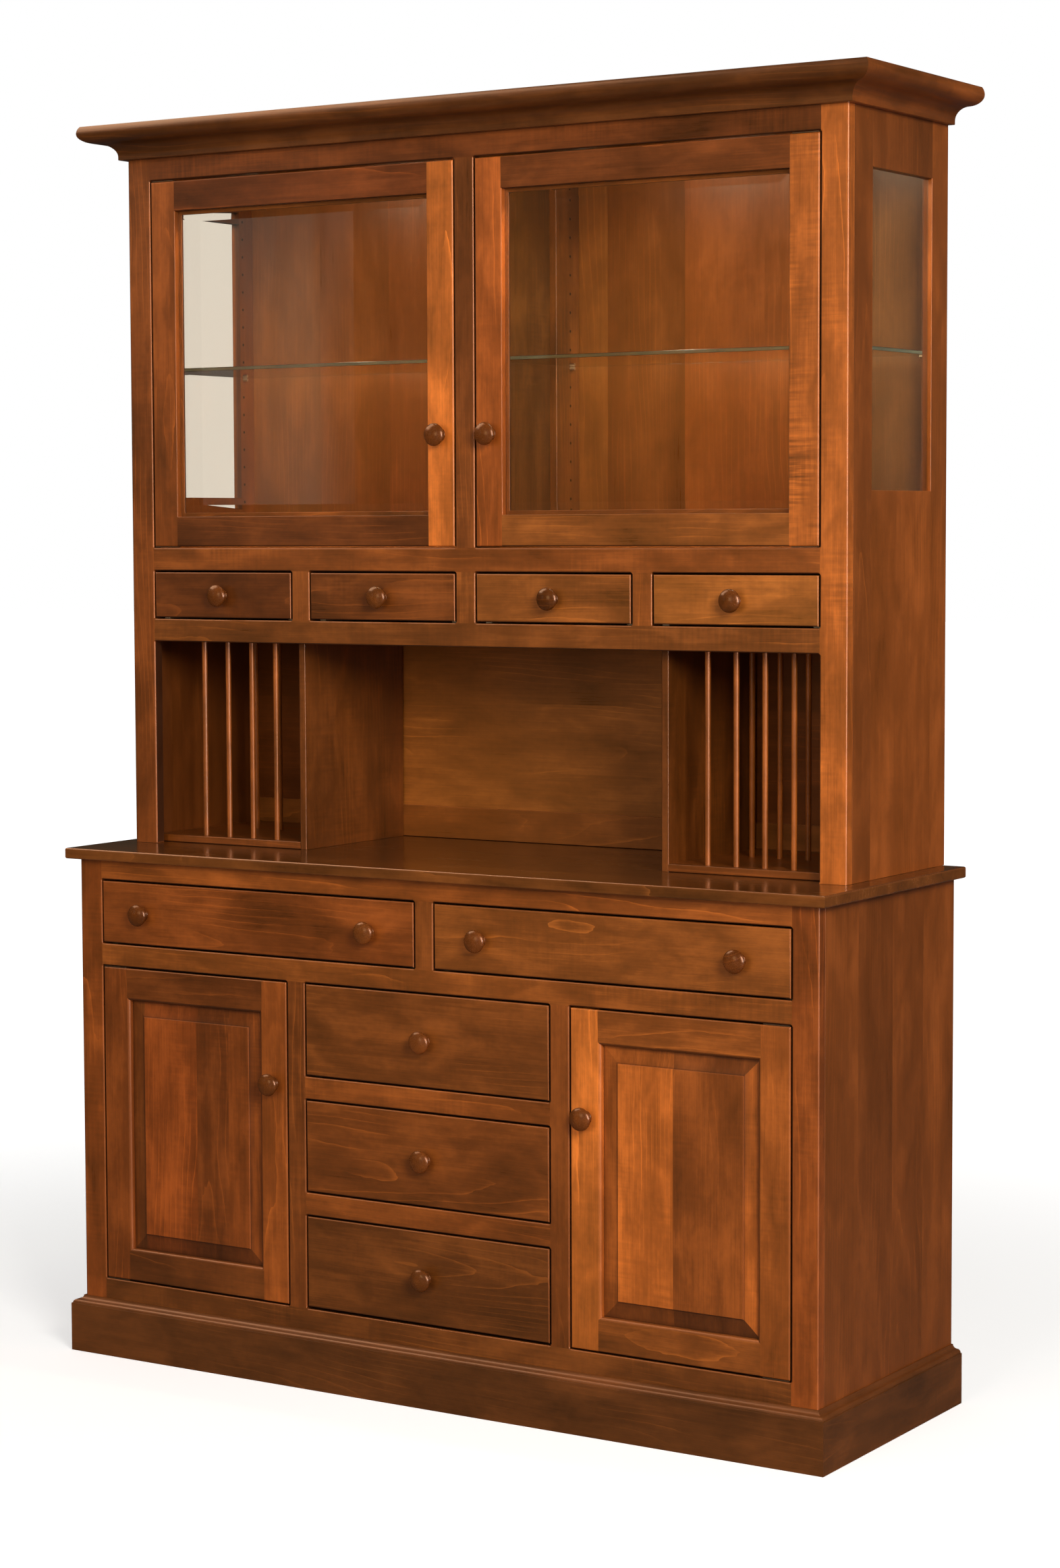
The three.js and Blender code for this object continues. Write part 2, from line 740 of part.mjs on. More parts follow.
function raisedPanel(halfWidth, halfHeight) {
  const reach = grooveDepth - panelPlay;
  const tongue = grooveSetback + seat;
  return stack([
    [halfWidth - fieldMargin, halfHeight - fieldMargin, fieldDepth],
    [halfWidth - fieldMargin, halfHeight - fieldMargin, fieldDepth + fieldStep],
    [halfWidth, halfHeight, tongue],
    [halfWidth + reach, halfHeight + reach, tongue],
    [halfWidth + reach, halfHeight + reach, tongue + panelTongue],
  ]);
}

function bevelledGlass(halfWidth, halfHeight) {
  const reach = grooveDepth - panelPlay;
  const edge = grooveSetback + seat;
  return stack([
    [halfWidth - glassBevel, halfHeight - glassBevel, edge + glassEdge - glassThickness],
    [halfWidth, halfHeight, edge],
    [halfWidth + reach, halfHeight + reach, edge],
    [halfWidth + reach, halfHeight + reach, edge + glassEdge],
  ]);
}

// A knife hinge: a leaf in the gap above or below the door and a pin down or up into its stile
function addHinge(name, pinX, doorEdge, direction, faceDepth, inward) {
  const near = doorEdge + direction * seat;
  const far = doorEdge + direction * (reveal - seat);
  const tip = doorEdge - direction * hingePinLength;
  const pinY = faceDepth + hingePinFromFace;
  const leafEnds = [pinX - inward * hingeLeafTail, pinX + inward * hingeLeafLength];
  const leaf = block(
    Math.min(...leafEnds), Math.max(...leafEnds),
    faceDepth + hingeLeafSetback, faceDepth + hingeLeafSetback + hingeLeafWidth,
    Math.min(near, far), Math.max(near, far),
  );
  const middle = (near + far) / 2;
  const pin = rod(pinX, pinY, Math.min(tip, middle), Math.max(tip, middle), hingePinRadius, dowelSegments);
  addPiece(name, join(leaf, pin), finishes.steel);
}

function addDoor(name, opening, faceDepth, knobRise, isGlazed) {
  const group = new THREE.Group();
  const x = (opening.x0 + opening.x1) / 2;
  const z = (opening.z0 + opening.z1) / 2;
  group.position.set(x, faceDepth, z);
  dresser.add(group);
  const side = opening.side;
  const width = opening.x1 - opening.x0 - 2 * reveal;
  const height = opening.z1 - opening.z0 - 2 * reveal;
  const pinX = side * (width / 2 - hingePinFromEdge);
  const bore = hingePinRadius + seat;
  const boreEnd = height / 2 + overrun;
  const boreFloor = height / 2 - hingePinLength - seat;
  const grooveWidth = (isGlazed ? glassEdge : panelTongue) + 2 * seat;
  const frame = cut(
    mitredFrame(doorSection(grooveWidth), width, height),
    rod(pinX, hingePinFromFace, boreFloor, boreEnd, bore, dowelSegments),
    rod(pinX, hingePinFromFace, -boreEnd, -boreFloor, bore, dowelSegments),
  );
  addPiece(`${name}_frame`, frame, finishes.maple, group);
  const inset = [width / 2 - doorStile, height / 2 - doorStile];
  if (isGlazed) {
    addPiece(`${name}_glass`, bevelledGlass(...inset), finishes.glass, group);
  } else {
    addPiece(`${name}_panel`, raisedPanel(...inset), finishes.maple, group);
  }
  addKnob(`${name}_knob`, side * (doorStile / 2 - width / 2), knobRise - (opening.z1 - opening.z0) / 2, group);
  addHinge(`${name}_hinge_upper`, x + pinX, z + height / 2, 1, faceDepth, -side);
  addHinge(`${name}_hinge_lower`, x + pinX, z - height / 2, -1, faceDepth, -side);
}

function buildDoors() {
  for (const opening of baseDoorOpenings) {
    addDoor(opening.side < 0 ? 'base_door_left' : 'base_door_right', opening, 0, baseDoorKnobRise, false);
  }
  for (const opening of hutchDoorOpenings) {
    const name = opening.side < 0 ? 'hutch_door_left' : 'hutch_door_right';
    addDoor(name, opening, hutchSetback, hutchDoorKnobRise, true);
  }
}

buildBaseFaceFrame();
buildBaseSides();
buildBaseBack();
buildBaseInnerFrame();
buildBaseTop();
buildPlinth();
buildHutchFaceFrame();
buildHutchSides();
buildHutchBack();
buildHutchInnerFrame();
buildGlassShelves();
buildCrown();
buildPlateRacks();
buildStemwareRack();
buildDrawers();
buildDoors();

export default dresser;
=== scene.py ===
import math

import bmesh
import bpy
import numpy as np
from mathutils import Matrix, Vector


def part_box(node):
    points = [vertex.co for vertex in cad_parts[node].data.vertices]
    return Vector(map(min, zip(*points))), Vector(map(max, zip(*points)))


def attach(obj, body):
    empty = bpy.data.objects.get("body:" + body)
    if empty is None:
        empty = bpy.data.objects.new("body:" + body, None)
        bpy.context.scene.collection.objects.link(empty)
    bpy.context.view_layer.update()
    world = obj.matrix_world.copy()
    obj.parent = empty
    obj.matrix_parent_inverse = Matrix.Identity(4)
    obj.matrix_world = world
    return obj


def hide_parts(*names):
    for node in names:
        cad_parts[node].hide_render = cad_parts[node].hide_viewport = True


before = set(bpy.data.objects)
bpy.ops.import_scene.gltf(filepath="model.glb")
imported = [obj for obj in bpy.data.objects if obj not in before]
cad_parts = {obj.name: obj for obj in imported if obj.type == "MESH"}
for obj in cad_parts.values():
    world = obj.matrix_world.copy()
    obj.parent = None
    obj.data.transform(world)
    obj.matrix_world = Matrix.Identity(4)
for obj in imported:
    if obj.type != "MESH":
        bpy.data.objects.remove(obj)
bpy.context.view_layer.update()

# Plinth
# Three maple boards on edge round the foot of the buffet, mitred at the front corners, with a
# quirk, a bead and a cove worked along their top edge. Reddish brown stain under satin lacquer.

X, Y, Z = np.eye(3)
# Pieces that touch are drawn this far apart
SEAT = 0.0003
pile = np.random.default_rng(11)


def corners_of(node):
    """The lowest and the highest corner of a node of the frame."""
    return [np.array(v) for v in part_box(node)]


def plank(tint=None, curl=None, figure=1.0):
    """A board taken from the pile: where it lay in its tree, its tint, how much it curls and how
    strongly its figure shows. A given tint may hold painted light and shade besides the board's own
    tone."""
    place = (pile.uniform(-30, 30), pile.uniform(-0.05, 0.05), pile.choice([-1, 1]) * pile.uniform(0.03, 0.1))
    shade, warmth, ripple = pile.uniform(0.88, 1.14), pile.uniform(-0.05, 0.05), pile.uniform(0, 0.5)
    natural = (shade, shade * (1 - warmth), shade * (1 - 2 * warmth))
    return {"place": place, "tint": natural if tint is None else tint,
            "curl": ripple if curl is None else curl, "figure": figure}


def tone(value, warm=0.0):
    """A tint by its lightness and by how much redder it is than the common stain."""
    return (value, value * (1 - warm), value * (1 - 1.5 * warm))


def grid_faces(rings, count):
    """Quads between neighbouring points of neighbouring rings, and round each ring."""
    i, j = np.meshgrid(np.arange(rings - 1), np.arange(count), indexing="ij")
    k = (j + 1) % count
    quads = [i * count + j, i * count + k, (i + 1) * count + k, (i + 1) * count + j]
    return np.stack(quads, -1).reshape(-1, 4)


def one_board(local, worn, faces):
    """A skin whose faces all belong to one board."""
    return {"local": local, "worn": worn, "faces": faces, "boards": [np.zeros(len(f), int) for f in faces]}


def ringed_skin(local, worn):
    """A closed skin over an array of rings of points, with a flat cap on the first and the last ring."""
    rings, count = local.shape[:2]
    faces = [grid_faces(rings, count), np.arange(count)[None], (rings - 1) * count + np.arange(count)[None]]
    return one_board(local.reshape(-1, 3), np.broadcast_to(worn, (rings, count)).ravel(), faces)


def prism(section, starts, stops, worn=0.0, end_ease=0.0):
    """A straight run of one section. Its points are (a, p, d): p across and d behind the face come
    from the section, and a runs from that point's start to its stop, so slanted ends are mitres.
    With an end ease, a moves in by e(1 - cos t) while no point is nearer the face than e(1 - sin t)."""
    section = np.asarray(section, float)
    turn = np.linspace(0, math.pi / 2, 4)[:, None] if end_ease else np.full((1, 1), math.pi / 2)
    inward, lift = end_ease * (1 - np.cos(turn)), end_ease * (1 - np.sin(turn))
    head = np.broadcast_to(starts, len(section)) + inward
    tail = (np.broadcast_to(stops, len(section)) - inward)[::-1]
    depth = np.maximum(section[:, 1], lift)
    a, d = np.concatenate([head, tail]), np.concatenate([depth, depth[::-1]])
    return ringed_skin(np.stack([a, np.broadcast_to(section[:, 0], a.shape), d], -1), worn)


def lay(skin, origin, along, across, into, *planks, crosswise=False):
    """Puts a skin in its place: point = origin + a along + p across + d into. The grain follows a,
    or p where it runs crosswise, and each glued board has its own plank."""
    a, p, d = skin["local"].T[:, :, None]
    planks = planks or [plank()]
    order = [1, 0, 2] if crosswise else [0, 1, 2]
    return {**skin, "points": np.asarray(origin, float) + a * along + p * across + d * into,
            "grain": skin["local"][:, order], "planks": planks}


def new_object(name, data):
    """An object of the scene with its mesh, light or lens."""
    made = bpy.data.objects.new(name, data)
    bpy.context.scene.collection.objects.link(made)
    return made


def make_piece(name, skins, finish, body, slot, *nodes, sharp=38.0):
    """Stacks closed skins in one mesh, faces outwards. At a corner of a face the grain is the skin's
    own coordinates plus the place of that face's board, and the tint and curl are that board's."""
    first = np.cumsum([0] + [len(s["points"]) for s in skins])
    boards = np.cumsum([0] + [len(s["planks"]) for s in skins])
    faces = [row for s, n in zip(skins, first) for block in s["faces"] for row in (block + n).tolist()]
    board = np.concatenate([ids + n for s, n in zip(skins, boards) for ids in s["boards"]])
    mesh = bpy.data.meshes.new(name)
    mesh.from_pydata(np.concatenate([s["points"] for s in skins]), [], faces)
    shell = bmesh.new()
    shell.from_mesh(mesh)
    bmesh.ops.recalc_face_normals(shell, faces=shell.faces)
    shell.to_mesh(mesh)
    shell.free()
    corner = np.zeros(len(mesh.loops), np.int32)
    mesh.loops.foreach_get("vertex_index", corner)
    total = np.zeros(len(mesh.polygons), np.int32)
    mesh.polygons.foreach_get("loop_total", total)
    board = np.repeat(board, total)
    planks = [p for s in skins for p in s["planks"]]
    place = np.array([p["place"] for p in planks])[board]
    grain = np.concatenate([s["grain"] for s in skins])[corner] + place
    tint = np.array([p["tint"] for p in planks])[board]
    worn = np.concatenate([s["worn"] for s in skins])[corner]
    curl, figure = np.array([(p["curl"], p["figure"]) for p in planks])[board].T
    # The first mark places painted highlight and shade on the wood, and the ground edges on glass
    marks = np.stack([worn, curl, figure], -1)
    for key, values in (("grain", grain), ("tint", tint), ("marks", marks)):
        layer = mesh.attributes.new(key, "FLOAT_VECTOR", "CORNER")
        layer.data.foreach_set("vector", values.ravel().astype(np.float32))
    mesh.shade_smooth()
    mesh.set_sharp_from_angle(angle=math.radians(sharp))
    mesh.materials.append(finish)
    made = new_object(name, mesh)
    even = made.modifiers.new("even_shading", "WEIGHTED_NORMAL")
    even.keep_sharp = True
    even.weight = 80
    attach(made, body)
    if nodes:
        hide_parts(*nodes)


def feed(tree, node, inputs):
    """Links or sets inputs of a node."""
    for key, value in dict(inputs).items():
        if isinstance(value, bpy.types.NodeSocket):
            tree.links.new(value, node.inputs[key])
        else:
            node.inputs[key].default_value = value


def wired(tree, kind, inputs=(), **settings):
    """A node with its settings made and its inputs linked or set."""
    made = tree.nodes.new(kind)
    for name, value in settings.items():
        setattr(made, name, value)
    feed(tree, made, inputs)
    return made


def calc(tree, operation, *values):
    """One step of arithmetic on sockets or numbers."""
    return wired(tree, "ShaderNodeMath", enumerate(values), operation=operation).outputs[0]


def vector_calc(tree, operation, *values, output=0):
    """One step of arithmetic on vectors."""
    return wired(tree, "ShaderNodeVectorMath", enumerate(values), operation=operation).outputs[output]


def mixed_colour(tree, factor, first, second):
    """The first colour where the factor is 0, the second where it is 1."""
    return wired(tree, "ShaderNodeMix", {0: factor, 6: first, 7: second}, data_type="RGBA").outputs[2]


def ramp(tree, value, start, stop, low=0.0, high=1.0, **settings):
    """Carries a value from start..stop to low..high, and holds it at both ends."""
    given = {0: value, 1: start, 2: stop, 3: low, 4: high}
    return wired(tree, "ShaderNodeMapRange", given, **settings).outputs[0]


def noise(tree, at, scale, detail, roughness=0.5, swirl=0.0):
    """A smooth random number between 0 and 1 at each point."""
    given = {"Vector": at, "Scale": scale, "Detail": detail, "Roughness": roughness, "Distortion": swirl}
    return wired(tree, "ShaderNodeTexNoise", given).outputs[0]


def grain_group():
    """Stained maple at the point (a, p, d) of its own board, in metres. A ring number is the distance
    from the pith, plus a taper along the board and a slow wave, over the ring width; its fraction to a
    high power draws the thin line where a ring ends. Noises stretched along the board add fibres,
    streaks and blotches of stain, and one stretched across it ripples the boards that curl. Where the
    first mark is over 0 an edge gets a painted highlight if it faces up or right, towards the light,
    and painted shade if it faces down or left; where it is under 0 it gets painted shade."""
    tree = bpy.data.node_groups.new("maple_grain", "ShaderNodeTree")
    for name, kind in (("Grain", "Vector"), ("Tint", "Vector"), ("Marks", "Vector"), ("Dark", "Color"),
                       ("Middle", "Color"), ("Light", "Color"), ("Rubbed", "Color"), ("Gloss", "Float")):
        tree.interface.new_socket(name, in_out="INPUT", socket_type="NodeSocket" + kind)
    for name, kind in (("Color", "Color"), ("Roughness", "Float"), ("Height", "Float")):
        tree.interface.new_socket(name, in_out="OUTPUT", socket_type="NodeSocket" + kind)
    given = tree.nodes.new("NodeGroupInput").outputs
    taper, slow_wave, jitter, ring_width, line_power = 0.022, 0.036, 0.0014, 0.0086, 13.0
    # The direction the light comes from, and the colour of painted shade
    toward_light, painted_shade_colour = (0.7, 0.0, 0.75), (0.03, 0.009, 0.003, 1.0)

    def cloud(stretch, detail, roughness=0.5, swirl=0.0):
        at = vector_calc(tree, "MULTIPLY", given["Grain"], stretch)
        return calc(tree, "SUBTRACT", noise(tree, at, 1.0, detail, roughness, swirl), 0.5)

    a, p, d = wired(tree, "ShaderNodeSeparateXYZ", {0: given["Grain"]}).outputs
    worn, curl, figure = wired(tree, "ShaderNodeSeparateXYZ", {0: given["Marks"]}).outputs
    from_pith = calc(tree, "SQRT", calc(tree, "MULTIPLY_ADD", p, p, calc(tree, "MULTIPLY", d, d)))
    leaning = calc(tree, "MULTIPLY_ADD", a, taper, from_pith)
    wavy = calc(tree, "MULTIPLY_ADD", cloud((2.6, 13.0, 13.0), 1.5), slow_wave, leaning)
    wavy = calc(tree, "MULTIPLY_ADD", cloud((34.0, 120.0, 120.0), 1.0), jitter, wavy)
    line = calc(tree, "POWER", calc(tree, "FRACT", calc(tree, "DIVIDE", wavy, ring_width)), line_power)
    line = calc(tree, "MULTIPLY", line, ramp(tree, cloud((3.4, 12.0, 12.0), 1.0), 0.0, 0.14))
    fibre = cloud((11.0, 560.0, 560.0), 3.0, 0.7)
    thread = cloud((5.0, 150.0, 150.0), 2.0)
    streak = cloud((2.2, 42.0, 42.0), 3.0, 0.6, 0.3)
    patch = cloud((3.2, 8.0, 8.0), 2.0, 0.5, 0.4)
    patch = calc(tree, "MULTIPLY_ADD", cloud((9.0, 21.0, 21.0), 2.0, 0.5, 0.7), 0.8, patch)
    blotch = calc(tree, "MULTIPLY", patch, 1.3)
    mottle = cloud((75.0, 130.0, 130.0), 3.0, 0.6)
    ripple = calc(tree, "MULTIPLY", cloud((190.0, 12.0, 12.0), 2.0), cloud((5.0, 9.0, 9.0), 1.0))
    depth = calc(tree, "MULTIPLY", blotch, 0.85)
    for layer, weight in ((streak, 0.22), (thread, 0.26), (fibre, 0.5), (mottle, 0.3), (line, 0.6),
                          (calc(tree, "MULTIPLY", ripple, curl), 7.0)):
        depth = calc(tree, "MULTIPLY_ADD", layer, weight, depth)
    depth = calc(tree, "MULTIPLY_ADD", depth, figure, 0.5)
    colour = mixed_colour(tree, ramp(tree, depth, 0.0, 0.5), given["Dark"], given["Middle"])
    colour = mixed_colour(tree, ramp(tree, depth, 0.5, 1.0), colour, given["Light"])
    colour = vector_calc(tree, "MULTIPLY", colour, given["Tint"])
    # Painted light on rounded edges: a highlight where they face up or right, painted shade where they face
    # down or left and where the mark is under 0
    normal = wired(tree, "ShaderNodeTexCoord").outputs["Normal"]
    facing = vector_calc(tree, "DOT_PRODUCT", normal, toward_light, output="Value")
    edge = calc(tree, "MAXIMUM", worn, 0.0)
    painted_light = calc(tree, "MULTIPLY", edge, ramp(tree, facing, -0.1, 0.6, 0.0, 0.4))
    under = calc(tree, "MULTIPLY", edge, ramp(tree, facing, 0.02, -0.3, 0.0, 0.85))
    painted_shade = calc(tree, "MAXIMUM", under, calc(tree, "MULTIPLY", worn, -0.9))
    colour = mixed_colour(tree, painted_light, colour, given["Rubbed"])
    colour = mixed_colour(tree, painted_shade, colour, painted_shade_colour)
    rough = calc(tree, "MULTIPLY_ADD", fibre, 0.22, calc(tree, "MULTIPLY_ADD", blotch, 0.16, given["Gloss"]))
    height = calc(tree, "MULTIPLY_ADD", line, 0.5, fibre)
    wired(tree, "NodeGroupOutput", {"Color": colour, "Roughness": rough, "Height": height})
    return tree


maple_grain = grain_group()


def new_finish(name):
    """A finish, its node tree and its shader."""
    finish = bpy.data.materials.new(name)
    finish.use_nodes = True
    return finish, finish.node_tree, finish.node_tree.nodes["Principled BSDF"]


def stained_maple(name, dark, middle, light, gloss, coat):
    """Maple under stain and lacquer: the grain group's colour, roughness and height on one shader."""
    finish, tree, shader = new_finish(name)
    wood = wired(tree, "ShaderNodeGroup", node_tree=maple_grain)
    for key in ("Grain", "Tint", "Marks"):
        read = wired(tree, "ShaderNodeAttribute", attribute_name=key.lower())
        tree.links.new(read.outputs["Vector"], wood.inputs[key])
    # The reddish colour is the painted highlight on rounded edges that face the light
    feed(tree, wood, {"Dark": (*dark, 1.0), "Middle": (*middle, 1.0), "Light": (*light, 1.0),
                      "Rubbed": (0.42, 0.115, 0.028, 1.0), "Gloss": gloss})
    colour, roughness, height = wood.outputs
    bump = wired(tree, "ShaderNodeBump", {"Strength": 0.12, "Distance": 0.0004, "Height": height})
    feed(tree, shader, {"Base Color": colour, "Roughness": roughness, "Normal": bump.outputs[0],
                        "Coat Weight": coat, "Coat Roughness": 0.16})
    return finish


maple = stained_maple("stained_maple", (0.088, 0.0245, 0.0032), (0.215, 0.0535, 0.0068), (0.43, 0.108, 0.014),
                      gloss=0.36, coat=0.15)
dark_maple = stained_maple("dark_stained_maple", (0.042, 0.0133, 0.0024), (0.09, 0.0262, 0.0042),
                           (0.155, 0.044, 0.007), gloss=0.38, coat=0.12)


def arc(centre, radii, from_turn, to_turn, steps=8):
    """Points of an ellipse about a centre between two angles given in quarter turns."""
    t = np.linspace(from_turn, to_turn, steps + 1) * math.pi / 2
    return np.stack([centre[0] + radii[0] * np.cos(t), centre[1] + radii[1] * np.sin(t)], -1)


plinth_low, plinth_high = corners_of("plinth")
PLINTH_FACE, PLINTH_TOP, PLINTH_THICK, PLINTH_EASE = 0.085, 0.098, 0.019, 0.001
QUIRK_X, BEAD_X, BEAD, COVE = 0.017, 0.011, 0.006, (0.008, 0.007)
round_edge = (PLINTH_EASE, PLINTH_EASE)
# Out from the case and height, turned into height and depth behind the face
outline = np.concatenate([
    [[SEAT, 0.0]], arc((PLINTH_THICK - PLINTH_EASE, PLINTH_EASE), round_edge, -1, 0, 2),
    arc((PLINTH_THICK - PLINTH_EASE, PLINTH_FACE - PLINTH_EASE), round_edge, 0, 1, 2),
    [[QUIRK_X, PLINTH_FACE]],
    arc((BEAD_X, PLINTH_FACE), (BEAD, BEAD), 0.05, 1), arc((BEAD_X, PLINTH_TOP), COVE, 3, 2)[1:],
    [[SEAT, PLINTH_TOP]],
])
section = np.stack([outline[:, 1], PLINTH_THICK - outline[:, 0]], -1)
mitre = plinth_high[0] - PLINTH_THICK + outline[:, 0]
plinth_front = plinth_low[1] + PLINTH_THICK
# The bead and the cove get the painted edge highlight or shade
moulding_light = np.interp(outline[:, 1], [PLINTH_FACE, PLINTH_FACE + 0.002], [0.0, 0.35])
runs = [lay(prism(section, -mitre, mitre, moulding_light), (0, plinth_low[1], 0), X, Z, Y, plank(tone(1.2)))]
for face_x, inward, shade in ((plinth_low[0], X, 1.1), (plinth_high[0], -X, 1.54)):
    side_run = prism(section, plinth_front - outline[:, 0], plinth_high[1], moulding_light)
    runs.append(lay(side_run, (face_x, 0, 0), Y, Z, inward, plank(tone(shade))))
make_piece("plinth_boards", runs, dark_maple, "case", "maple", "plinth")

# Buffet sides and back
# Each side is four vertical maple boards edge-glued into a flat panel, flush with the stile in
# front of it. The back is one thin sheet of pale maple ply, pinned to the frame behind.

# Painted shade starts this far below a rounded edge
SHADE_DROP = 0.0004
FINE_EASE = 0.0004


def stacked(length, width, sections, cuts=()):
    """A flat piece built up from rectangles: ring k lies in from the outline by its inset, at its
    depth, and the ends of every ring are divided where the glued boards meet (cuts across it)."""
    inset, depth, worn = np.asarray(sections, float).T
    half = (width / 2 - inset)[:, None]
    seams = np.broadcast_to(cuts, (len(inset), len(cuts)))
    p = np.concatenate([-half, np.clip(seams, 1e-5 - half, half - 1e-5), half], 1)
    a = np.broadcast_to((length / 2 - inset)[:, None], p.shape)
    local = np.stack([np.concatenate([-a, a], 1), np.concatenate([p, p[:, ::-1]], 1),
                      np.broadcast_to(depth[:, None], (len(depth), 2 * p.shape[1]))], -1)
    n = p.shape[1]
    count, ids = 2 * n, np.arange(n - 1)
    cap = np.stack([ids, ids + 1, count - 2 - ids, count - 1 - ids], -1)
    last = (len(inset) - 1) * count
    round_ids = np.tile(np.concatenate([ids, [n - 2], ids[::-1], [0]]), len(inset) - 1)
    return {"local": local.reshape(-1, 3), "worn": np.repeat(worn, count),
            "faces": [grid_faces(len(inset), count), cap, cap + last], "boards": [round_ids, ids, ids]}


def eased_rings(ease, depth, far_ease=0.0003):
    """Rings over a board's edges: inset r(1 - sin t) at depth r(1 - cos t), and so again at the far
    face. The middle of the near round gets the painted edge highlight or shade, and on a board thicker
    than 8 mm painted shade lies below it on the edge."""
    t = np.linspace(0, math.pi / 2, 5)
    near = np.stack([ease * (1 - np.sin(t)), ease * (1 - np.cos(t)), [0, 1, 1, 1, 0]], -1)
    # Painted shade in the gap beside boards thicker than 8 mm
    dark = -1.0 * (depth > 0.008)
    far = np.stack([far_ease * (1 - np.sin(t)), depth - far_ease * (1 - np.cos(t)),
                    [0, 0, 0, 0, 0.3 * dark]], -1)
    gap_shade_rings = [[0.0, ease + SHADE_DROP, dark], [0.0, max(ease + 0.0005, 0.4 * depth), dark]]
    return np.concatenate([near, gap_shade_rings, far[::-1]])


# The right side's rear boards are painted lighter, against the light falling off towards the back, on top of
# the boards' own tone
for side, sign, tints in (("left", -1, (1.0, 1.08, 0.95, 1.1)), ("right", 1, (1.1, 0.96, 1.08, 1.17))):
    low, high = corners_of(f"base_side_{side}")
    size, middle = high - low, (low + high) / 2
    panel = stacked(size[2], size[1], eased_rings(FINE_EASE, size[0]), cuts=(-0.118, 0.004, 0.116))
    face_x = high[0] if sign > 0 else low[0]
    planks = [plank(tone(t), 0.1, 0.6) for t in tints]
    make_piece(f"buffet_side_{side}", [lay(panel, (face_x, middle[1], middle[2]), Z, Y, -sign * X, *planks)],
               maple, "case", "maple", f"base_side_{side}")

pale_maple = stained_maple("pale_maple", (0.42, 0.27, 0.14), (0.58, 0.4, 0.23), (0.7, 0.52, 0.33),
                           gloss=0.5, coat=0.0)
low, high = corners_of("base_back")
size, middle = high - low, (low + high) / 2
sheet = stacked(size[2], size[0], eased_rings(FINE_EASE, size[1]))
make_piece("buffet_back_sheet", [lay(sheet, (middle[0], low[1], middle[2]), Z, X, Y, plank((1, 1, 1), 0))],
           pale_maple, "case", "plain_maple", "base_back")

# Buffet inside
# Deck, two upright partitions, dust board, divider, cupboard shelves and drawer runners: plain
# maple boards with lightly eased edges, housed and glued into one frame behind the face frame.


def corner_rounds(width, thickness, r, count):
    """A quarter circle on each corner of a rectangle: p and d of its points, round from the near low
    corner. Point t has p = centre + r cos t and d = centre + r sin t."""
    centre_p = np.where([[1], [0], [0], [1]], r, width - r)
    centre_d = np.where([[1], [1], [0], [0]], r, thickness - r)
    t = (np.array([2, 3, 0, 1])[:, None] + np.linspace(0, 1, count)) * math.pi / 2
    return centre_p + r * np.cos(t), centre_d + r * np.sin(t)


def rounded_section(width, thickness, ease, far_ease=FINE_EASE):
    """A rectangle with rounded corners as points (p, d). The middle of the near rounds gets the painted
    edge highlight or shade, and below them painted shade lies on the sides."""
    r = np.array([ease, ease, far_ease, far_ease])[:, None]
    worn = np.zeros((4, 4))
    worn[:2, 1:3] = 1
    down = min(ease + SHADE_DROP, thickness / 2)
    points = np.stack(corner_rounds(width, thickness, r, 4), -1)
    points = np.concatenate([points[:2].reshape(-1, 2), [[width, down]],
                             points[2:].reshape(-1, 2), [[0.0, down]]])
    # Painted shade on the sides below the near rounds
    worn[2, 0] = worn[3, 3] = -1
    return points, np.concatenate([worn[:2].ravel(), [-1.0], worn[2:].ravel(), [-1.0]])


def plain_board(low, high, along, thin, ease=0.0008, board=None):
    """A board between two corners, its grain along one axis and its thickness on another."""
    low, high = np.minimum(low, high), np.maximum(low, high)
    wide = 3 - along - thin
    axes = np.eye(3)
    section, worn = rounded_section(high[wide] - low[wide], high[thin] - low[thin], ease, ease)
    skin = prism(section, 0.0, high[along] - low[along], np.maximum(worn, 0))
    return lay(skin, low, axes[along], axes[wide], axes[thin], board or plank())


low, high = corners_of("base_inner_frame")
DECK_TOP, DUST_TOP, BOARD, RUNNER_W = 0.134, 0.727, 0.019, 0.028
PARTITION_X, CUPBOARD_SHELF_TOP, SHELF_BACKSET = 0.2605, 0.4, 0.025
front, back = low[1], high[1]
inside = [
    plain_board((low[0], front, DECK_TOP - BOARD), (high[0], back, DECK_TOP), 0, 2),
    plain_board((low[0], front, DUST_TOP - BOARD), (high[0], back, DUST_TOP), 0, 2),
    plain_board((-BOARD / 2, front, DUST_TOP), (BOARD / 2, back, high[2]), 1, 0),
]
drawer_feet = [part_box(f"middle_drawer_{i}")[0].z - SEAT for i in (1, 2)]
for sign in (-1, 1):
    inner, outer = sign * (PARTITION_X - BOARD / 2), sign * (PARTITION_X + BOARD / 2)
    inside.append(plain_board((inner, front, DECK_TOP), (outer, back, DUST_TOP - BOARD), 2, 0))
    inside.append(plain_board((outer, front + SHELF_BACKSET, CUPBOARD_SHELF_TOP - BOARD),
                              (sign * high[0], back, CUPBOARD_SHELF_TOP), 0, 2))
    for foot in drawer_feet:
        inside.append(plain_board((inner - sign * RUNNER_W, front, foot - BOARD), (inner, back, foot), 1, 0))
make_piece("buffet_inside", inside, maple, "case", "maple", "base_inner_frame")

# Buffet face frame
# Outer stiles run from floor to top; rails butt between them and short stiles between the rails,
# all flush and glued. The edges round each opening are eased by hand; their rounds carry a painted
# highlight where they face up or right and painted shade where they face down or left, and painted
# shade lies in the reveals.

REVEAL, EASE, TIGHT = 0.0028, 0.0025, 0.00005


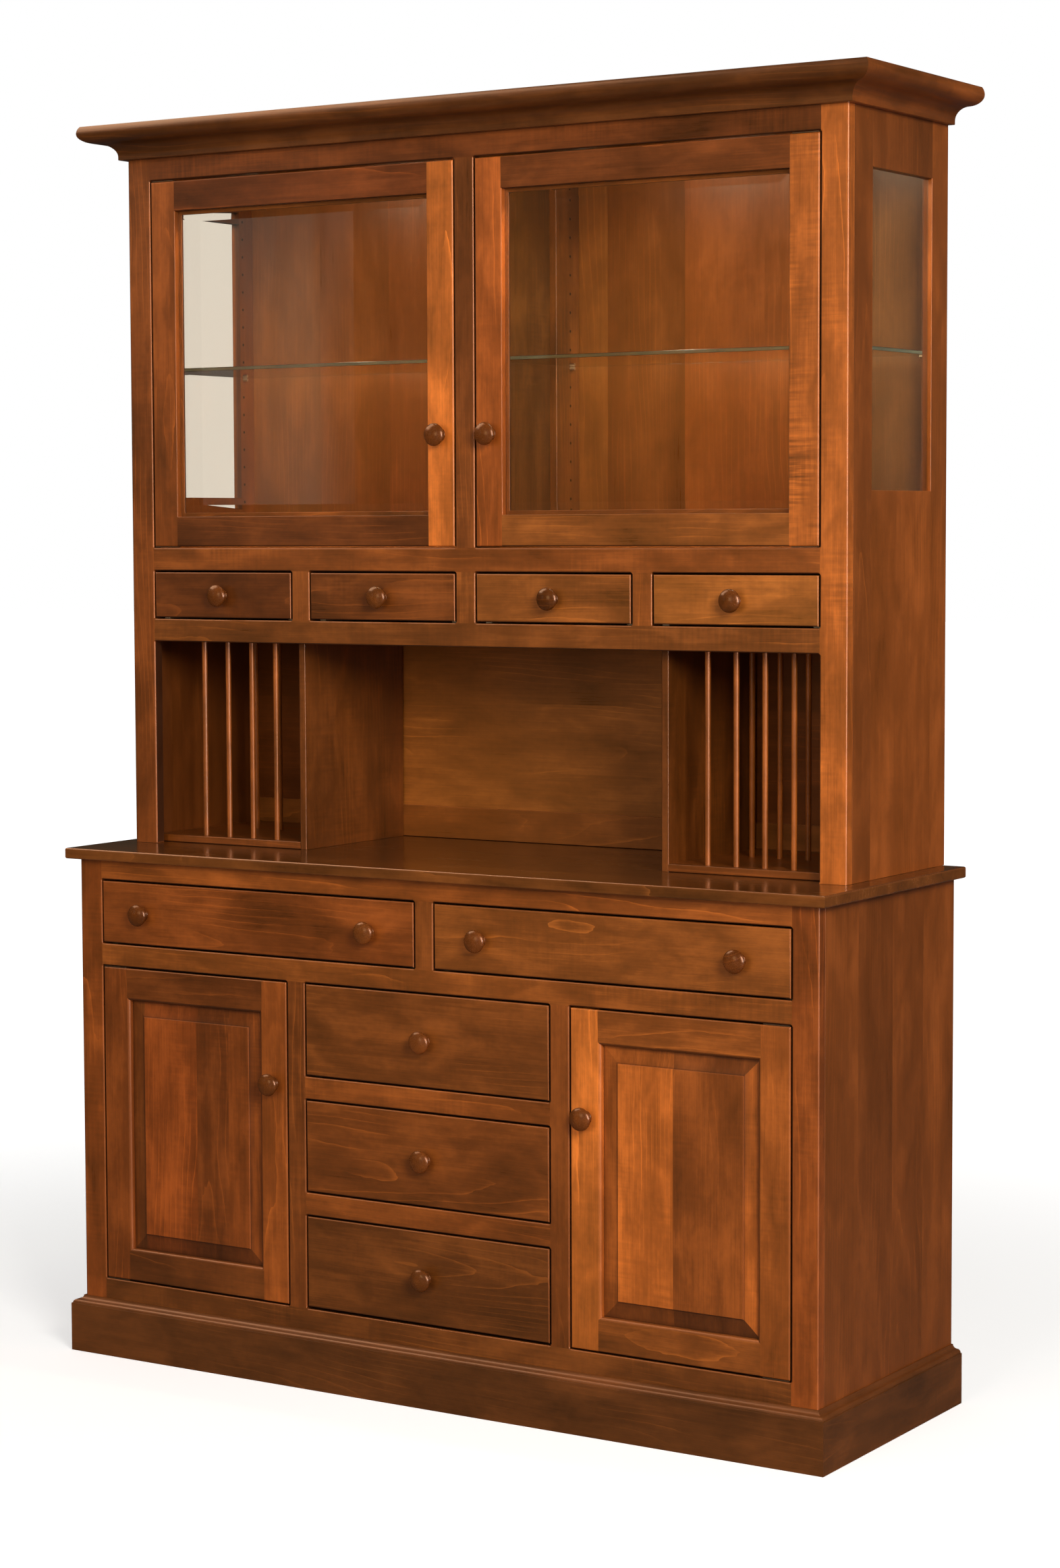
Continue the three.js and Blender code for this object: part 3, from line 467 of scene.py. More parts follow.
def frame_member(length, width, thickness, low_spans, high_spans, outer=0):
    """A stile or rail. Its section is a rectangle with quarter circles on its two near corners: the
    radius is the ease beside an opening, where painted shade lies just below it, and falls to nearly
    nothing where another member butts. An outer edge, low (-1) or high (1), is eased all along. Eased
    rounds get the painted edge highlight or shade."""
    def beside(at, spans):
        marks = np.array([[a, a + EASE, b - EASE, b] for a, b in spans]).ravel()
        return np.interp(at, marks, np.tile([0, 1, 1, 0], len(spans))) if len(spans) else np.zeros(len(at))

    ends = [v for a, b in (*low_spans, *high_spans) for v in (a, a + EASE, b - EASE, b)]
    at = np.unique(np.clip([0.0, length, *ends], 0.0, length))
    gap = np.stack([beside(at, low_spans), beside(at, high_spans)], 1)
    eased = np.maximum(gap, [outer < 0, outer > 0])
    r = np.concatenate([TIGHT + (EASE - TIGHT) * eased, np.full((len(at), 2), TIGHT)], 1)[:, :, None]
    p, d = corner_rounds(width, thickness, r, 5)
    worn = np.zeros(p.shape)
    worn[:, :2, 1:4] = eased[:, :, None]
    p[:, 2, 0], d[:, 2, 0], p[:, 3, 4], d[:, 3, 4] = width, EASE + SHADE_DROP, 0.0, EASE + SHADE_DROP
    # Painted shade on the side of the member in the reveal, just below the round
    worn[:, 2, :2], worn[:, 3, 3:] = -gap[:, 1:], -gap[:, :1]
    a = np.broadcast_to(at[:, None, None], p.shape)
    return ringed_skin(np.stack([a, p, d], -1).reshape(len(at), -1, 3), worn.reshape(len(at), -1))


def within(start, stop, *sides):
    """The openings on each side of a member, measured from its start and cut off at its ends."""
    return [[(max(a, start) - start, min(b, stop) - start) for a, b in sorted(gaps)] for gaps in sides]


def stile(x0, x1, z0, z1, face, thickness, left_gaps, right_gaps, board, outer=0):
    """An upright member, with the openings beside it given as spans of height."""
    skin = frame_member(z1 - z0, x1 - x0, thickness, *within(z0, z1, left_gaps, right_gaps), outer)
    return lay(skin, (x0, face, z0), Z, X, Y, board)


def rail(x0, x1, z0, z1, face, thickness, gaps_below, gaps_above, board):
    """A level member, with the openings under and over it given as spans of width."""
    skin = frame_member(x1 - x0, z1 - z0, thickness, *within(x0, x1, gaps_below, gaps_above))
    return lay(skin, (x0, face, z0), X, Z, Y, board)


def opening(node):
    """The opening round an inset door or drawer, as spans of width and height."""
    low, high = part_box(node)
    return (low.x - REVEAL, high.x + REVEAL), (low.z - REVEAL, high.z + REVEAL)


def drawer_opening(node, height):
    """The opening round a drawer front of known height: its box hangs lower than its front."""
    low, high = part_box(node)
    return (low.x - REVEAL, high.x + REVEAL), (high.z + REVEAL - height, high.z + REVEAL)


low, high = corners_of("base_face_frame")
slab = (low[1], high[1] - low[1])
WIDE_DRAWER, DOOR_HEAD, RAIL_W, RAIL_FOOT = 0.113, 0.689, 0.038, 0.06
wide = [drawer_opening(f"wide_drawer_{s}", WIDE_DRAWER) for s in ("left", "right")]
cupboard = [opening(f"base_door_{s}_frame") for s in ("left", "right")]
stack_height = (DOOR_HEAD - DECK_TOP - 2 * RAIL_W) / 3
drawers = [drawer_opening(f"middle_drawer_{i}", stack_height) for i in (1, 2, 3)]
(inner_x, outer_x), stack_x = cupboard[1][0], drawers[0][0][1]
wide_gap, door_gap = wide[0][1], cupboard[0][1]
wide_spans, lower_spans = [w[0] for w in wide], [cupboard[0][0], drawers[0][0], cupboard[1][0]]
members = [
    stile(low[0], -outer_x, low[2], high[2], *slab, [], [wide_gap, door_gap], plank(tone(1.15, 0.08)), -1),
    stile(outer_x, high[0], low[2], high[2], *slab, [wide_gap, door_gap], [], plank(tone(1.03, 0.1)), 1),
    rail(-outer_x, outer_x, wide_gap[1], high[2], *slab, wide_spans, [], plank(tone(1.18))),
    rail(-outer_x, outer_x, door_gap[1], wide_gap[0], *slab, lower_spans, wide_spans,
         plank(tone(1.06, -0.06))),
    rail(-outer_x, outer_x, RAIL_FOOT, door_gap[0], *slab, [], lower_spans, plank(tone(0.62, -0.1))),
    stile(wide[0][0][1], wide[1][0][0], *wide_gap, *slab, [wide_gap], [wide_gap], plank(tone(0.84, -0.04))),
]
for sign, shade in ((-1, 0.73), (1, 0.85)):
    x0, x1 = sorted((sign * stack_x, sign * inner_x))
    gaps = [[d[1] for d in drawers], [door_gap]][::sign]
    members.append(stile(x0, x1, *door_gap, *slab, *gaps, plank(tone(shade))))
for upper, lower, shade in zip(drawers, drawers[1:], (1.01, 0.94)):
    members.append(rail(-stack_x, stack_x, lower[1][1], upper[1][0], *slab,
                        [(-stack_x, stack_x)], [(-stack_x, stack_x)], plank(tone(shade))))
make_piece("buffet_face_frame", members, maple, "case", "maple", "base_face_frame")

# Worktop
# Five maple boards edge-glued along their length into one top with eased edges, sanded finer and
# lacquered glossier than the case, so that it mirrors what stands on it.

top_maple = stained_maple("worktop_maple", (0.04, 0.0125, 0.0022), (0.085, 0.0255, 0.0045),
                          (0.15, 0.045, 0.008), gloss=0.22, coat=0.4)
TOP_EASE = 0.003
low, high = corners_of("base_top")
size, middle = high - low, (low + high) / 2
# The rounded edges get a weaker painted edge highlight or shade, and no painted shade below them
rings = np.maximum(eased_rings(TOP_EASE, size[2], TOP_EASE) * [1, 1, 0.7], 0)
boards = stacked(size[0], size[1], rings, cuts=(-0.16, -0.055, 0.05, 0.152))
planks = [plank(tone(v), 0.1) for v in (1.2, 0.95, 0.9, 0.92, 1.0)]
# The front edge and the right-hand ends are painted paler than the top, for the light they catch, under their
# rounded corners
front_edge, right_ends = len(planks), len(planks) + 1
around = boards["boards"][0].reshape(-1, 2 * len(planks) + 2)
around[3:, -1], around[3:, len(planks) + 1:-1] = front_edge, right_ends
planks += [{**planks[0], "tint": tone(v)} for v in (2.05, 2.1)]
make_piece("worktop", [lay(boards, (middle[0], middle[1], high[2]), X, Y, -Z, *planks)],
           top_maple, "case", "maple", "base_top")

# Hutch face frame
# Built as the buffet's: outer stiles from the worktop up to behind the crown, rails over, under and
# between the doors and small drawers, a centre stile between the doors and short stiles below.

low, high = corners_of("hutch_face_frame")
slab = (low[1], high[1] - low[1])
SMALL_DRAWER, NICHE_TOP = 0.085, 1.253
glazed = [opening(f"hutch_door_{s}_frame") for s in ("left", "right")]
small = [drawer_opening(f"small_drawer_{i}", SMALL_DRAWER) for i in (1, 2, 3, 4)]
centre_x, outer_x = glazed[1][0]
door_gap, small_gap = glazed[0][1], small[0][1]
side_gaps = [(low[2], NICHE_TOP), small_gap, door_gap]
door_spans, small_spans = [g[0] for g in glazed], [s[0] for s in small]
members = [
    stile(low[0], -outer_x, low[2], high[2], *slab, [], side_gaps, plank(tone(0.84, 0.04)), -1),
    stile(outer_x, high[0], low[2], high[2], *slab, side_gaps, [], plank(tone(1.8)), 1),
    rail(-outer_x, outer_x, door_gap[1], high[2], *slab, door_spans, [], plank(tone(0.57, 0.08))),
    rail(-outer_x, outer_x, small_gap[1], door_gap[0], *slab, small_spans, door_spans, plank(tone(1.05))),
    rail(-outer_x, outer_x, NICHE_TOP, small_gap[0], *slab, [(-outer_x, outer_x)], small_spans,
         plank(tone(0.8, -0.1))),
    stile(-centre_x, centre_x, *door_gap, *slab, [door_gap], [door_gap], plank(tone(0.82, 0.0))),
    stile(-centre_x, centre_x, *small_gap, *slab, [small_gap], [small_gap], plank(tone(1.0, -0.06))),
]
for left, right, shade in ((small[0], small[1], 0.88), (small[2], small[3], 1.15)):
    members.append(stile(left[0][1], right[0][0], *small_gap, *slab, [small_gap], [small_gap],
                         plank(tone(shade, -0.03))))
make_piece("hutch_face_frame_joined", members, maple, "case", "maple", "hutch_face_frame")

# Hutch sides and their windows
# Each side is vertical maple round a window: two uprights the full height, a short piece over the
# window and a tall one under it. The edges of the window are a little eased; a pane sits in a groove.

SIDE_BACK, SIDE_FOOT, SIDE_TOP, HALF_HUTCH = 0.2565, 0.8943, 2.130, 0.705
WINDOW = (-0.0173, 0.1983, 1.5062, 2.0078)
SOFT = 0.0008
SOFT_EDGE = np.concatenate([arc((0.0, SOFT), (SOFT, SOFT), -1, 0, 4), [[SOFT, 0.009]]])


def framing(outer, flat, stick, thickness, planks, ease=0.0, upright_grain=False, back_shade=0.0,
            deep_shade=0.0):
    """Four members round an opening. Each is a flat board, with a moulded stick along its inner edge
    that is mitred at the corners: a stick point q beyond the flat part ends q further in. Uprights run
    full length and the level members butt between them. Outer and flat are (u0, u1, v0, v1), and the
    back and deep shades are painted shade on the inner face and deep in the opening. The middle of the
    stick's round gets the painted edge highlight or shade."""
    u0, u1, v0, v1 = outer
    f0, f1, g0, g1 = flat
    q, d = np.asarray(stick, float).T
    made = []
    for width, start, stop, inner_start, inner_stop, at, turned_over, level, board in (
        (f0 - u0, v0, v1, g0, g1, u0, False, False, planks[0]),
        (u1 - f1, v0, v1, g0, g1, u1, True, False, planks[1]),
        (g0 - v0, f0, f1, f0, f1, v0, False, True, planks[2]),
        (v1 - g1, f0, f1, f0, f1, v1, True, True, planks[3]),
    ):
        near, worn = rounded_section(width, thickness, TIGHT, TIGHT)
        worn[9:17] = back_shade
        if ease:
            near, worn = rounded_section(width + 2 * ease, thickness, ease)
            near[:, 0] = np.minimum(near[:, 0], width)
            worn = worn * (near[:, 0] < width / 2)
            worn[worn < 0] = -1
        strip = np.concatenate([[[width, thickness]], np.stack([width + q, d], -1),
                                [[width + q[-1], thickness]]])
        inset = np.concatenate([[0.0], q, [q[-1]]])
        painted_light = np.concatenate([[deep_shade], (np.arange(len(q)) % (len(q) - 1) > 0) * 0.8, [deep_shade]])
        painted_light[-2] = deep_shade
        skins = [prism(near, start, stop, worn, 0.0 if level else ease),
                 prism(strip, inner_start + inset, inner_stop - inset, painted_light)]
        made += [(skin, at, -1 if turned_over else 1, level, board, level and upright_grain)
                 for skin in skins]
    return made


def lay_framing(members, u_axis, v_axis, into, origin):
    """Puts the members of a framing on its plane: uprights run along v and level members along u."""
    return [
        lay(skin, origin + at * (v_axis if level else u_axis), u_axis if level else v_axis,
            way * (v_axis if level else u_axis), into, board, crosswise=turned)
        for skin, at, way, level, board, turned in members
    ]


# The left side is painted darker than the right, for the shade inside the left rack that it walls
for side, sign, shade in (("left", -1, 0.85), ("right", 1, 1.0)):
    planks = [plank(tone(v * shade), 0.1, 0.6) for v in (1.1, 1.43, 1.4, 0.97)]
    outer = (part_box(f"hutch_side_{side}")[0].y, SIDE_BACK, SIDE_FOOT, SIDE_TOP)
    # Painted shade on the window's inner faces and deep in its opening
    members = framing(outer, WINDOW, SOFT_EDGE, BOARD, planks, upright_grain=True, back_shade=-0.55,
                      deep_shade=-0.75)
    make_piece(f"hutch_side_boards_{side}", lay_framing(members, Y, Z, -sign * X, sign * HALF_HUTCH * X),
               maple, "case", "maple", f"hutch_side_{side}")


def clear_glass(name, body_colour, edge_colour):
    """Clear glass whose ground edges are green and a little frosted. Lamps shine through it."""
    finish, tree, shader = new_finish(name)
    marks = wired(tree, "ShaderNodeAttribute", attribute_name="marks").outputs["Vector"]
    edge = wired(tree, "ShaderNodeSeparateXYZ", {0: marks}).outputs[0]
    colour = mixed_colour(tree, edge, (*body_colour, 1), (*edge_colour, 1))
    feed(tree, shader, {"Base Color": colour, "Roughness": calc(tree, "MULTIPLY", edge, 0.35),
                        "Transmission Weight": 1.0, "IOR": 1.5})
    through = wired(tree, "ShaderNodeBsdfTransparent", {0: (*body_colour, 1)}).outputs[0]
    in_shadow = wired(tree, "ShaderNodeLightPath").outputs["Is Shadow Ray"]
    both = wired(tree, "ShaderNodeMixShader", {0: in_shadow, 1: shader.outputs[0], 2: through})
    tree.links.new(both.outputs[0], tree.nodes["Material Output"].inputs["Surface"])
    return finish


SIDES = (("left", -1), ("right", 1))
glass = clear_glass("cabinet_glass", (0.97, 0.985, 0.975), (0.6, 0.86, 0.74))
for side, sign in SIDES:
    low, high = corners_of(f"side_glass_{side}")
    size, middle = high - low, (low + high) / 2
    pane = stacked(size[2], size[1], [(0, 0, 0), (0, size[0], 0)])
    face_x = high[0] if sign > 0 else low[0]
    make_piece(f"window_pane_{side}", [lay(pane, (face_x, middle[1], middle[2]), Z, Y, -sign * X)],
               glass, "case", "glass", f"side_glass_{side}", sharp=1)

# Hutch back
# Behind the niche and behind each rack three level boards, behind the display part nine upright
# ones, glued edge to edge and flush on both faces, with a rail planted along the foot.

low, high = corners_of("hutch_back")
BACK_FACE, BACK_RAIL_TOP, BACK_SPLIT, BACK_RAIL_PROUD, RACK_EDGE = 0.2375, 0.951, 1.2625, 0.003, 0.361
rings = eased_rings(TIGHT, high[1] - BACK_FACE, TIGHT)
boards = []
# The boards behind the racks are painted darker than those behind the niche, for the shade inside the racks
for x0, x1, shade, warm in ((low[0], -RACK_EDGE, 0.6, 0.05), (-RACK_EDGE, RACK_EDGE, 1.15, -0.2),
                            (RACK_EDGE, high[0], 0.6, 0.05)):
    part = stacked(x1 - x0, BACK_SPLIT - low[2], rings, cuts=(-0.06, 0.062))
    planks = [plank(tone(v * shade, warm), 0.1, 0.7) for v in (0.97, 1.0, 0.95)]
    boards.append(lay(part, ((x0 + x1) / 2, BACK_FACE, (low[2] + BACK_SPLIT) / 2), X, Z, Y, *planks))
planks = [plank(tone(v, warm), 0.1, 0.5) for v, warm in (
    (0.78, -0.17), (0.84, -0.1), (0.95, -0.05), (0.95, -0.1), (0.86, -0.25), (0.76, -0.15), (1.1, -0.05),
    (1.05, -0.05), (0.74, -0.38))]
cuts = np.linspace(low[0], high[0], len(planks) + 1)[1:-1]
part = stacked(high[2] - BACK_SPLIT, high[0] - low[0], rings, cuts)
boards.append(lay(part, (0, BACK_FACE, (BACK_SPLIT + high[2]) / 2), Z, X, Y, *planks))
boards.append(plain_board((low[0], BACK_FACE - BACK_RAIL_PROUD, low[2]),
                          (high[0], BACK_FACE + BACK_RAIL_PROUD, BACK_RAIL_TOP),
                          0, 1, 0.0012, plank(tone(0.95, -0.12), 0.1, 0.7)))
make_piece("hutch_back_boards", boards, maple, "case", "maple", "hutch_back")

# Hutch inside
# Floor boards under the drawers and the display part, short dividers between the drawers, and a
# centre partition: a thin panel between two upright strips that are bored for shelf pins.

low, high = corners_of("hutch_inner_frame")
front, back = low[1], high[1]
BAY_FLOOR, DISPLAY_FLOOR, STRIP, STRIP_DEEP, THIN_PANEL = 1.292, 1.418, 0.038, 0.076, 0.012
divider_x = (small[2][0][1] + small[3][0][0]) / 2
inside = []
for floor_top, shade in ((BAY_FLOOR, 0.9), (DISPLAY_FLOOR, 1.7)):
    inside.append(plain_board((low[0], front, floor_top - BOARD), (high[0], back, floor_top), 0, 2,
                              board=plank(tone(shade))))
# The centre partition's panel and strips are painted dark, for the shade they stand in
for wide_x, y0, y1, ease, shade, warm in (
    (THIN_PANEL, front + STRIP_DEEP, back - STRIP_DEEP, 0.0008, 0.4, -0.35),
    (STRIP, front, front + STRIP_DEEP, 0.0015, 0.34, -0.35),
    (STRIP, back - STRIP_DEEP, back, 0.0015, 0.6, -0.2),
):
    inside.append(plain_board((-wide_x / 2, y0, DISPLAY_FLOOR), (wide_x / 2, y1, SIDE_TOP), 2, 0, ease,
                              plank(tone(shade, warm))))
for x in (-divider_x, 0, divider_x):
    inside.append(plain_board((x - BOARD / 2, front, BAY_FLOOR),
                              (x + BOARD / 2, back, DISPLAY_FLOOR - BOARD), 1, 0))
make_piece("hutch_inside", inside, maple, "case", "maple", "hutch_inner_frame")

# Crown
# A maple moulding, cove below and ogee above, run round the left, front and right of the hutch and
# mitred at the corners, with a plain top board let in a little below its upper edge.

low, high = corners_of("crown")
CROWN_OUT, CROWN_LAP, NOSE_RISE = 0.064, 0.01, 0.044
COVE, OGEE, NOSE = (0.025, 0.0215), (0.027, 0.0165), (0.014, 0.017)
HUTCH_SETBACK = 0.130
hutch_front = plinth_front + HUTCH_SETBACK
foot, top = low[2], high[2]
nose_end = math.asin((top - foot - NOSE_RISE) / NOSE[1]) / (math.pi / 2)
# Out from the hutch and height, turned into height and depth behind the face
outline = np.concatenate([
    [[SEAT, foot]], [[0.0112, foot], [0.012, foot + 0.0008]],
    arc((0.037, foot + 0.006), COVE, 2, 1, 10), arc((0.037, foot + NOSE_RISE), OGEE, -1, 0, 8)[1:],
    arc((0.05, foot + NOSE_RISE), NOSE, 0, nose_end, 8)[1:], [[SEAT, top]],
])
section = np.stack([outline[:, 1], CROWN_OUT - outline[:, 0]], -1)
mitre, edge_x = HALF_HUTCH + outline[:, 0], HALF_HUTCH + CROWN_OUT
runs = [lay(prism(section, -mitre, mitre), (0, hutch_front - CROWN_OUT, 0), X, Z, Y, plank(tone(0.41, -0.1)))]
for sign, shade in ((-1, 0.95), (1, 0.93)):
    side_run = prism(section, hutch_front - outline[:, 0], high[1])
    runs.append(lay(side_run, (sign * edge_x, 0, 0), Y, Z, -sign * X, plank(tone(shade))))
top_board = stacked(2 * (HALF_HUTCH + CROWN_LAP), high[1] - hutch_front + CROWN_LAP,
                    eased_rings(FINE_EASE, BOARD - SEAT), cuts=(-0.06, 0.06))
runs.append(lay(top_board, (0, (high[1] + hutch_front - CROWN_LAP) / 2, SIDE_TOP + BOARD), X, Y, -Z,
                *[plank(tone(v)) for v in (1.0, 0.95, 1.0)]))
make_piece("crown_moulding", runs, maple, "case", "maple", "crown")

# Glass shelves and their pins
# Each display bay has one sheet of plate glass with polished green edges, lying on four steel
# pins; more holes for the pins run up the sides and the centre partition, 32 mm apart.

for side, sign in SIDES:
    low, high = corners_of(f"glass_shelf_{side}")
    size, middle = high - low, (low + high) / 2
    bright = 0.0006
    rings = [(bright, 0, 0), (0, bright, 1), (0, size[2] - bright, 1), (bright, size[2], 0)]
    sheet = stacked(size[0], size[1], rings)
    make_piece(f"shelf_glass_{side}", [lay(sheet, (middle[0], middle[1], high[2]), X, Y, -Z)],
               glass, "case", "glass", f"glass_shelf_{side}", sharp=20)


def turned(radii, heights, steps=32):
    """A piece turned on a lathe: at angle t ring k has the point (h, r cos t, r sin t), and each end is
    closed to a point on the axis."""
    radii, heights = np.asarray(radii, float), np.asarray(heights, float)
    ends = heights[[0, -1]]
    keep = radii > 1e-6
    radii, heights = radii[keep], heights[keep]
    here = np.arange(steps)
    t = here * 2 * math.pi / steps
    local = np.stack([np.broadcast_to(heights[:, None], (len(radii), steps)),
                      radii[:, None] * np.cos(t), radii[:, None] * np.sin(t)], -1).reshape(-1, 3)
    local = np.concatenate([local, [[ends[0], 0, 0], [ends[1], 0, 0]]])
    after, last, pole = (here + 1) % steps, (len(radii) - 1) * steps, len(radii) * steps
    faces = [grid_faces(len(radii), steps), np.stack([after, here, np.full(steps, pole)], -1),
             np.stack([last + here, last + after, np.full(steps, pole + 1)], -1)]
    return one_board(local, np.zeros(len(local)), faces)


def bright_steel(name, colour, roughness):
    """Brushed steel: fine scratches in one direction vary its roughness and its surface."""
    finish, tree, shader = new_finish(name)
    at = wired(tree, "ShaderNodeTexCoord").outputs["Object"]
    stretched = wired(tree, "ShaderNodeMapping", {"Vector": at, "Scale": (90, 2600, 2600)}).outputs[0]
    scratch = noise(tree, stretched, 1.0, 3.0)
    worn_colour = mixed_colour(tree, scratch, tuple(0.8 * c for c in colour) + (1,), (*colour, 1))
    rough = calc(tree, "MULTIPLY_ADD", scratch, 0.2, roughness)
    bump = wired(tree, "ShaderNodeBump", {"Strength": 0.1, "Distance": 0.0001, "Height": scratch})
    feed(tree, shader, {"Base Color": worn_colour, "Metallic": 1.0, "Roughness": rough,
                        "Normal": bump.outputs[0]})
    return finish


steel = bright_steel("hinge_steel", (0.16, 0.14, 0.12), 0.45)
PIN_ROWS, INNER_FACE, HOLE_PITCH = (front + 0.052, BACK_FACE - 0.0303), 0.686, 0.032
PIN_R, HOLE_R = 0.003, 0.0026
pin_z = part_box("glass_shelf_left")[0].z - PIN_R - SEAT
pins, holes = [], []
for x, way in ((-INNER_FACE, 1), (-STRIP / 2, -1), (STRIP / 2, 1), (INNER_FACE, -1)):
    for y in PIN_ROWS:
        pins.append(lay(turned([0.0028, PIN_R, PIN_R, 0.0026], [-0.004, 0.0, 0.0085, 0.009], 14),
                        (x, y, pin_z), way * X, Y, Z))
        # Each hole is a flat dark disc just proud of the wood: painted shade in place of a bored hole's depth
        for step in range(-8, 11):
            if step:
                holes.append(lay(turned([HOLE_R, 0.0025], [-0.0005, 0.00008], 12),
                                 (x, y, pin_z + HOLE_PITCH * step), way * X, Y, Z))
pin_steel = bright_steel("pin_steel", (0.5, 0.4, 0.28), 0.35)
make_piece("shelf_pins", pins, pin_steel, "case", "hinge_steel")
# Painted shade: the dark colour of the discs stands in for the shadowed inside of the holes
hole_shade = stained_maple("bored_hole", (0.012, 0.005, 0.002), (0.02, 0.008, 0.003), (0.03, 0.012, 0.005),
                          gloss=0.8, coat=0.0)
make_piece("shelf_pin_holes", holes, hole_shade, "case", "maple")

# Plate racks
# At each end of the niche a maple divider and a floor board, and between the floor and two rails
# under the ceiling two rows of turned dowels that keep plates apart.

rack_low, rack_high = corners_of("plate_rack_right")
RACK, RACK_EASE, DOWEL_R, FIRST_DOWEL, DOWEL_SPACING = 0.0127, 0.0014, 0.00475, 0.063, 0.052
RACK_RAIL_W, RACK_RAIL_H = 0.028, 0.012
wall_x = rack_low[0] + RACK
foot, floor_z, ceiling = rack_low[2], rack_low[2] + RACK, rack_high[2]
front, back = rack_low[1], rack_high[1]
for side, sign in SIDES:
    near_x, far_x = sign * wall_x, sign * rack_high[0]
    pieces = [
        plain_board((sign * rack_low[0], front, foot), (near_x, back, ceiling), 2, 0, RACK_EASE,
                    plank(tone(0.62, -0.05))),
        plain_board((near_x, front, foot), (far_x, back, floor_z), 0, 2, RACK_EASE, plank(tone(0.85))),
    ]
    for y in (front + 0.018, front + 0.168):
        pieces.append(plain_board((near_x, y - RACK_RAIL_W / 2, ceiling - RACK_RAIL_H),
                                  (far_x, y + RACK_RAIL_W / 2, ceiling), 0, 2))
        for i in range(4):
            dowel = turned([DOWEL_R, DOWEL_R], [floor_z - 0.002, ceiling - RACK_RAIL_H / 2], 20)
            x = sign * (wall_x + FIRST_DOWEL + DOWEL_SPACING * i)
            pieces.append(lay(dowel, (x, y, 0), Z, X, Y, plank(tone(1.15))))
    make_piece(f"rack_{side}", pieces, maple, "case", "maple", f"plate_rack_{side}")

# Stemware rails
# Seven T-shaped maple rails screwed under the ceiling of the niche, joined by a bar at the back;
# the feet of glasses slide in on their flanges from the front.

low, high = corners_of("stemware_rack")
BAR, FLANGE_H, NECK_W, FLANGE_W, STEM_RAILS = 0.014, 0.007, 0.014, 0.042, 7
flange_top, bar_front = low[2] + FLANGE_H, high[1] - BAR
pieces = [plain_board((low[0], bar_front, low[2]), (high[0], high[1], high[2]), 0, 1)]
for x in np.linspace(low[0] + FLANGE_W / 2, high[0] - FLANGE_W / 2, STEM_RAILS):
    for half, foot, top, thin, ease in (
        (NECK_W / 2, flange_top, high[2], 0, 0.0008), (FLANGE_W / 2, low[2], flange_top, 2, 0.0015),
    ):
        pieces.append(plain_board((x - half, low[1], foot), (x + half, bar_front, top), 1, thin, ease))
make_piece("stem_rails", pieces, maple, "case", "maple", "stemware_rack")

# Knobs
# Mushroom knobs turned in maple, screwed on from behind: a small foot, a waist and a domed head,
# stained and lacquered glossier than the fronts.

knob_maple = stained_maple("knob_maple", (0.055, 0.0145, 0.0022), (0.13, 0.034, 0.005), (0.25, 0.065, 0.01),
                           gloss=0.26, coat=0.3)
feed(knob_maple.node_tree, knob_maple.node_tree.nodes["Principled BSDF"],
     {"Specular IOR Level": 0.3, "Coat Roughness": 0.06})
KNOB_R, KNOB_OUT = 0.019, 0.0257


def knob_outline():
    """Radius and height of the knob: a foot with a small bead, a waist that widens as a square below
    and a cube above, the underside of the head as a superellipse, and a dome as half an ellipse."""
    foot_t, foot_r = np.array([[0.0, 0.02, 0.09, 0.11, 0.125, 0.14, 0.17, 0.185],
                               [0.61, 0.63, 0.63, 0.6, 0.54, 0.565, 0.565, 0.53]])
    waist_t = np.linspace(0.2, 0.45, 9)
    under_t = np.linspace(0.47, 0.66, 8)
    dome = np.linspace(0, math.pi / 2, 16)
    below, above = np.clip((0.32 - waist_t) / 0.12, 0, 1), np.clip((waist_t - 0.32) / 0.13, 0, 1)
    waist_r = 0.4 + 0.1 * below ** 2 + 0.11 * above ** 3
    under_r = (1 - ((0.66 - under_t) / 0.215) ** 2.3) ** (1 / 2.3)
    dome_r, dome_t = np.cos(dome), 0.66 + 0.34 * np.sin(dome)
    r = np.concatenate([[0.0], foot_r, waist_r, under_r, dome_r[1:-1], [0.0]])
    t = np.concatenate([[0.0], foot_t, waist_t, under_t, dome_t[1:-1], [1.0]])
    return r * KNOB_R, t * KNOB_OUT


def add_knob(node, body):
    """Sets a turned knob where the frame has its plain one."""
    low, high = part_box(node)
    at = ((low.x + high.x) / 2, high.y, (low.z + high.z) / 2)
    make_piece(node + "_turned", [lay(turned(*knob_outline(), 40), at, -Y, X, Z)],
               knob_maple, body, "knob_maple", node, sharp=60)


# Drawers
# Each front is one maple board with eased edges, screwed to a box of pale maple sides and back
# with a thin ply bottom let in. Wide drawers have two knobs, the others one in the middle.

FRONT_T, BOX_WALL, BOX_PLAY, HEADROOM, BOTTOM_RISE, BOTTOM_TOP = 0.02, 0.012, 0.006, 0.018, 0.006, 0.012


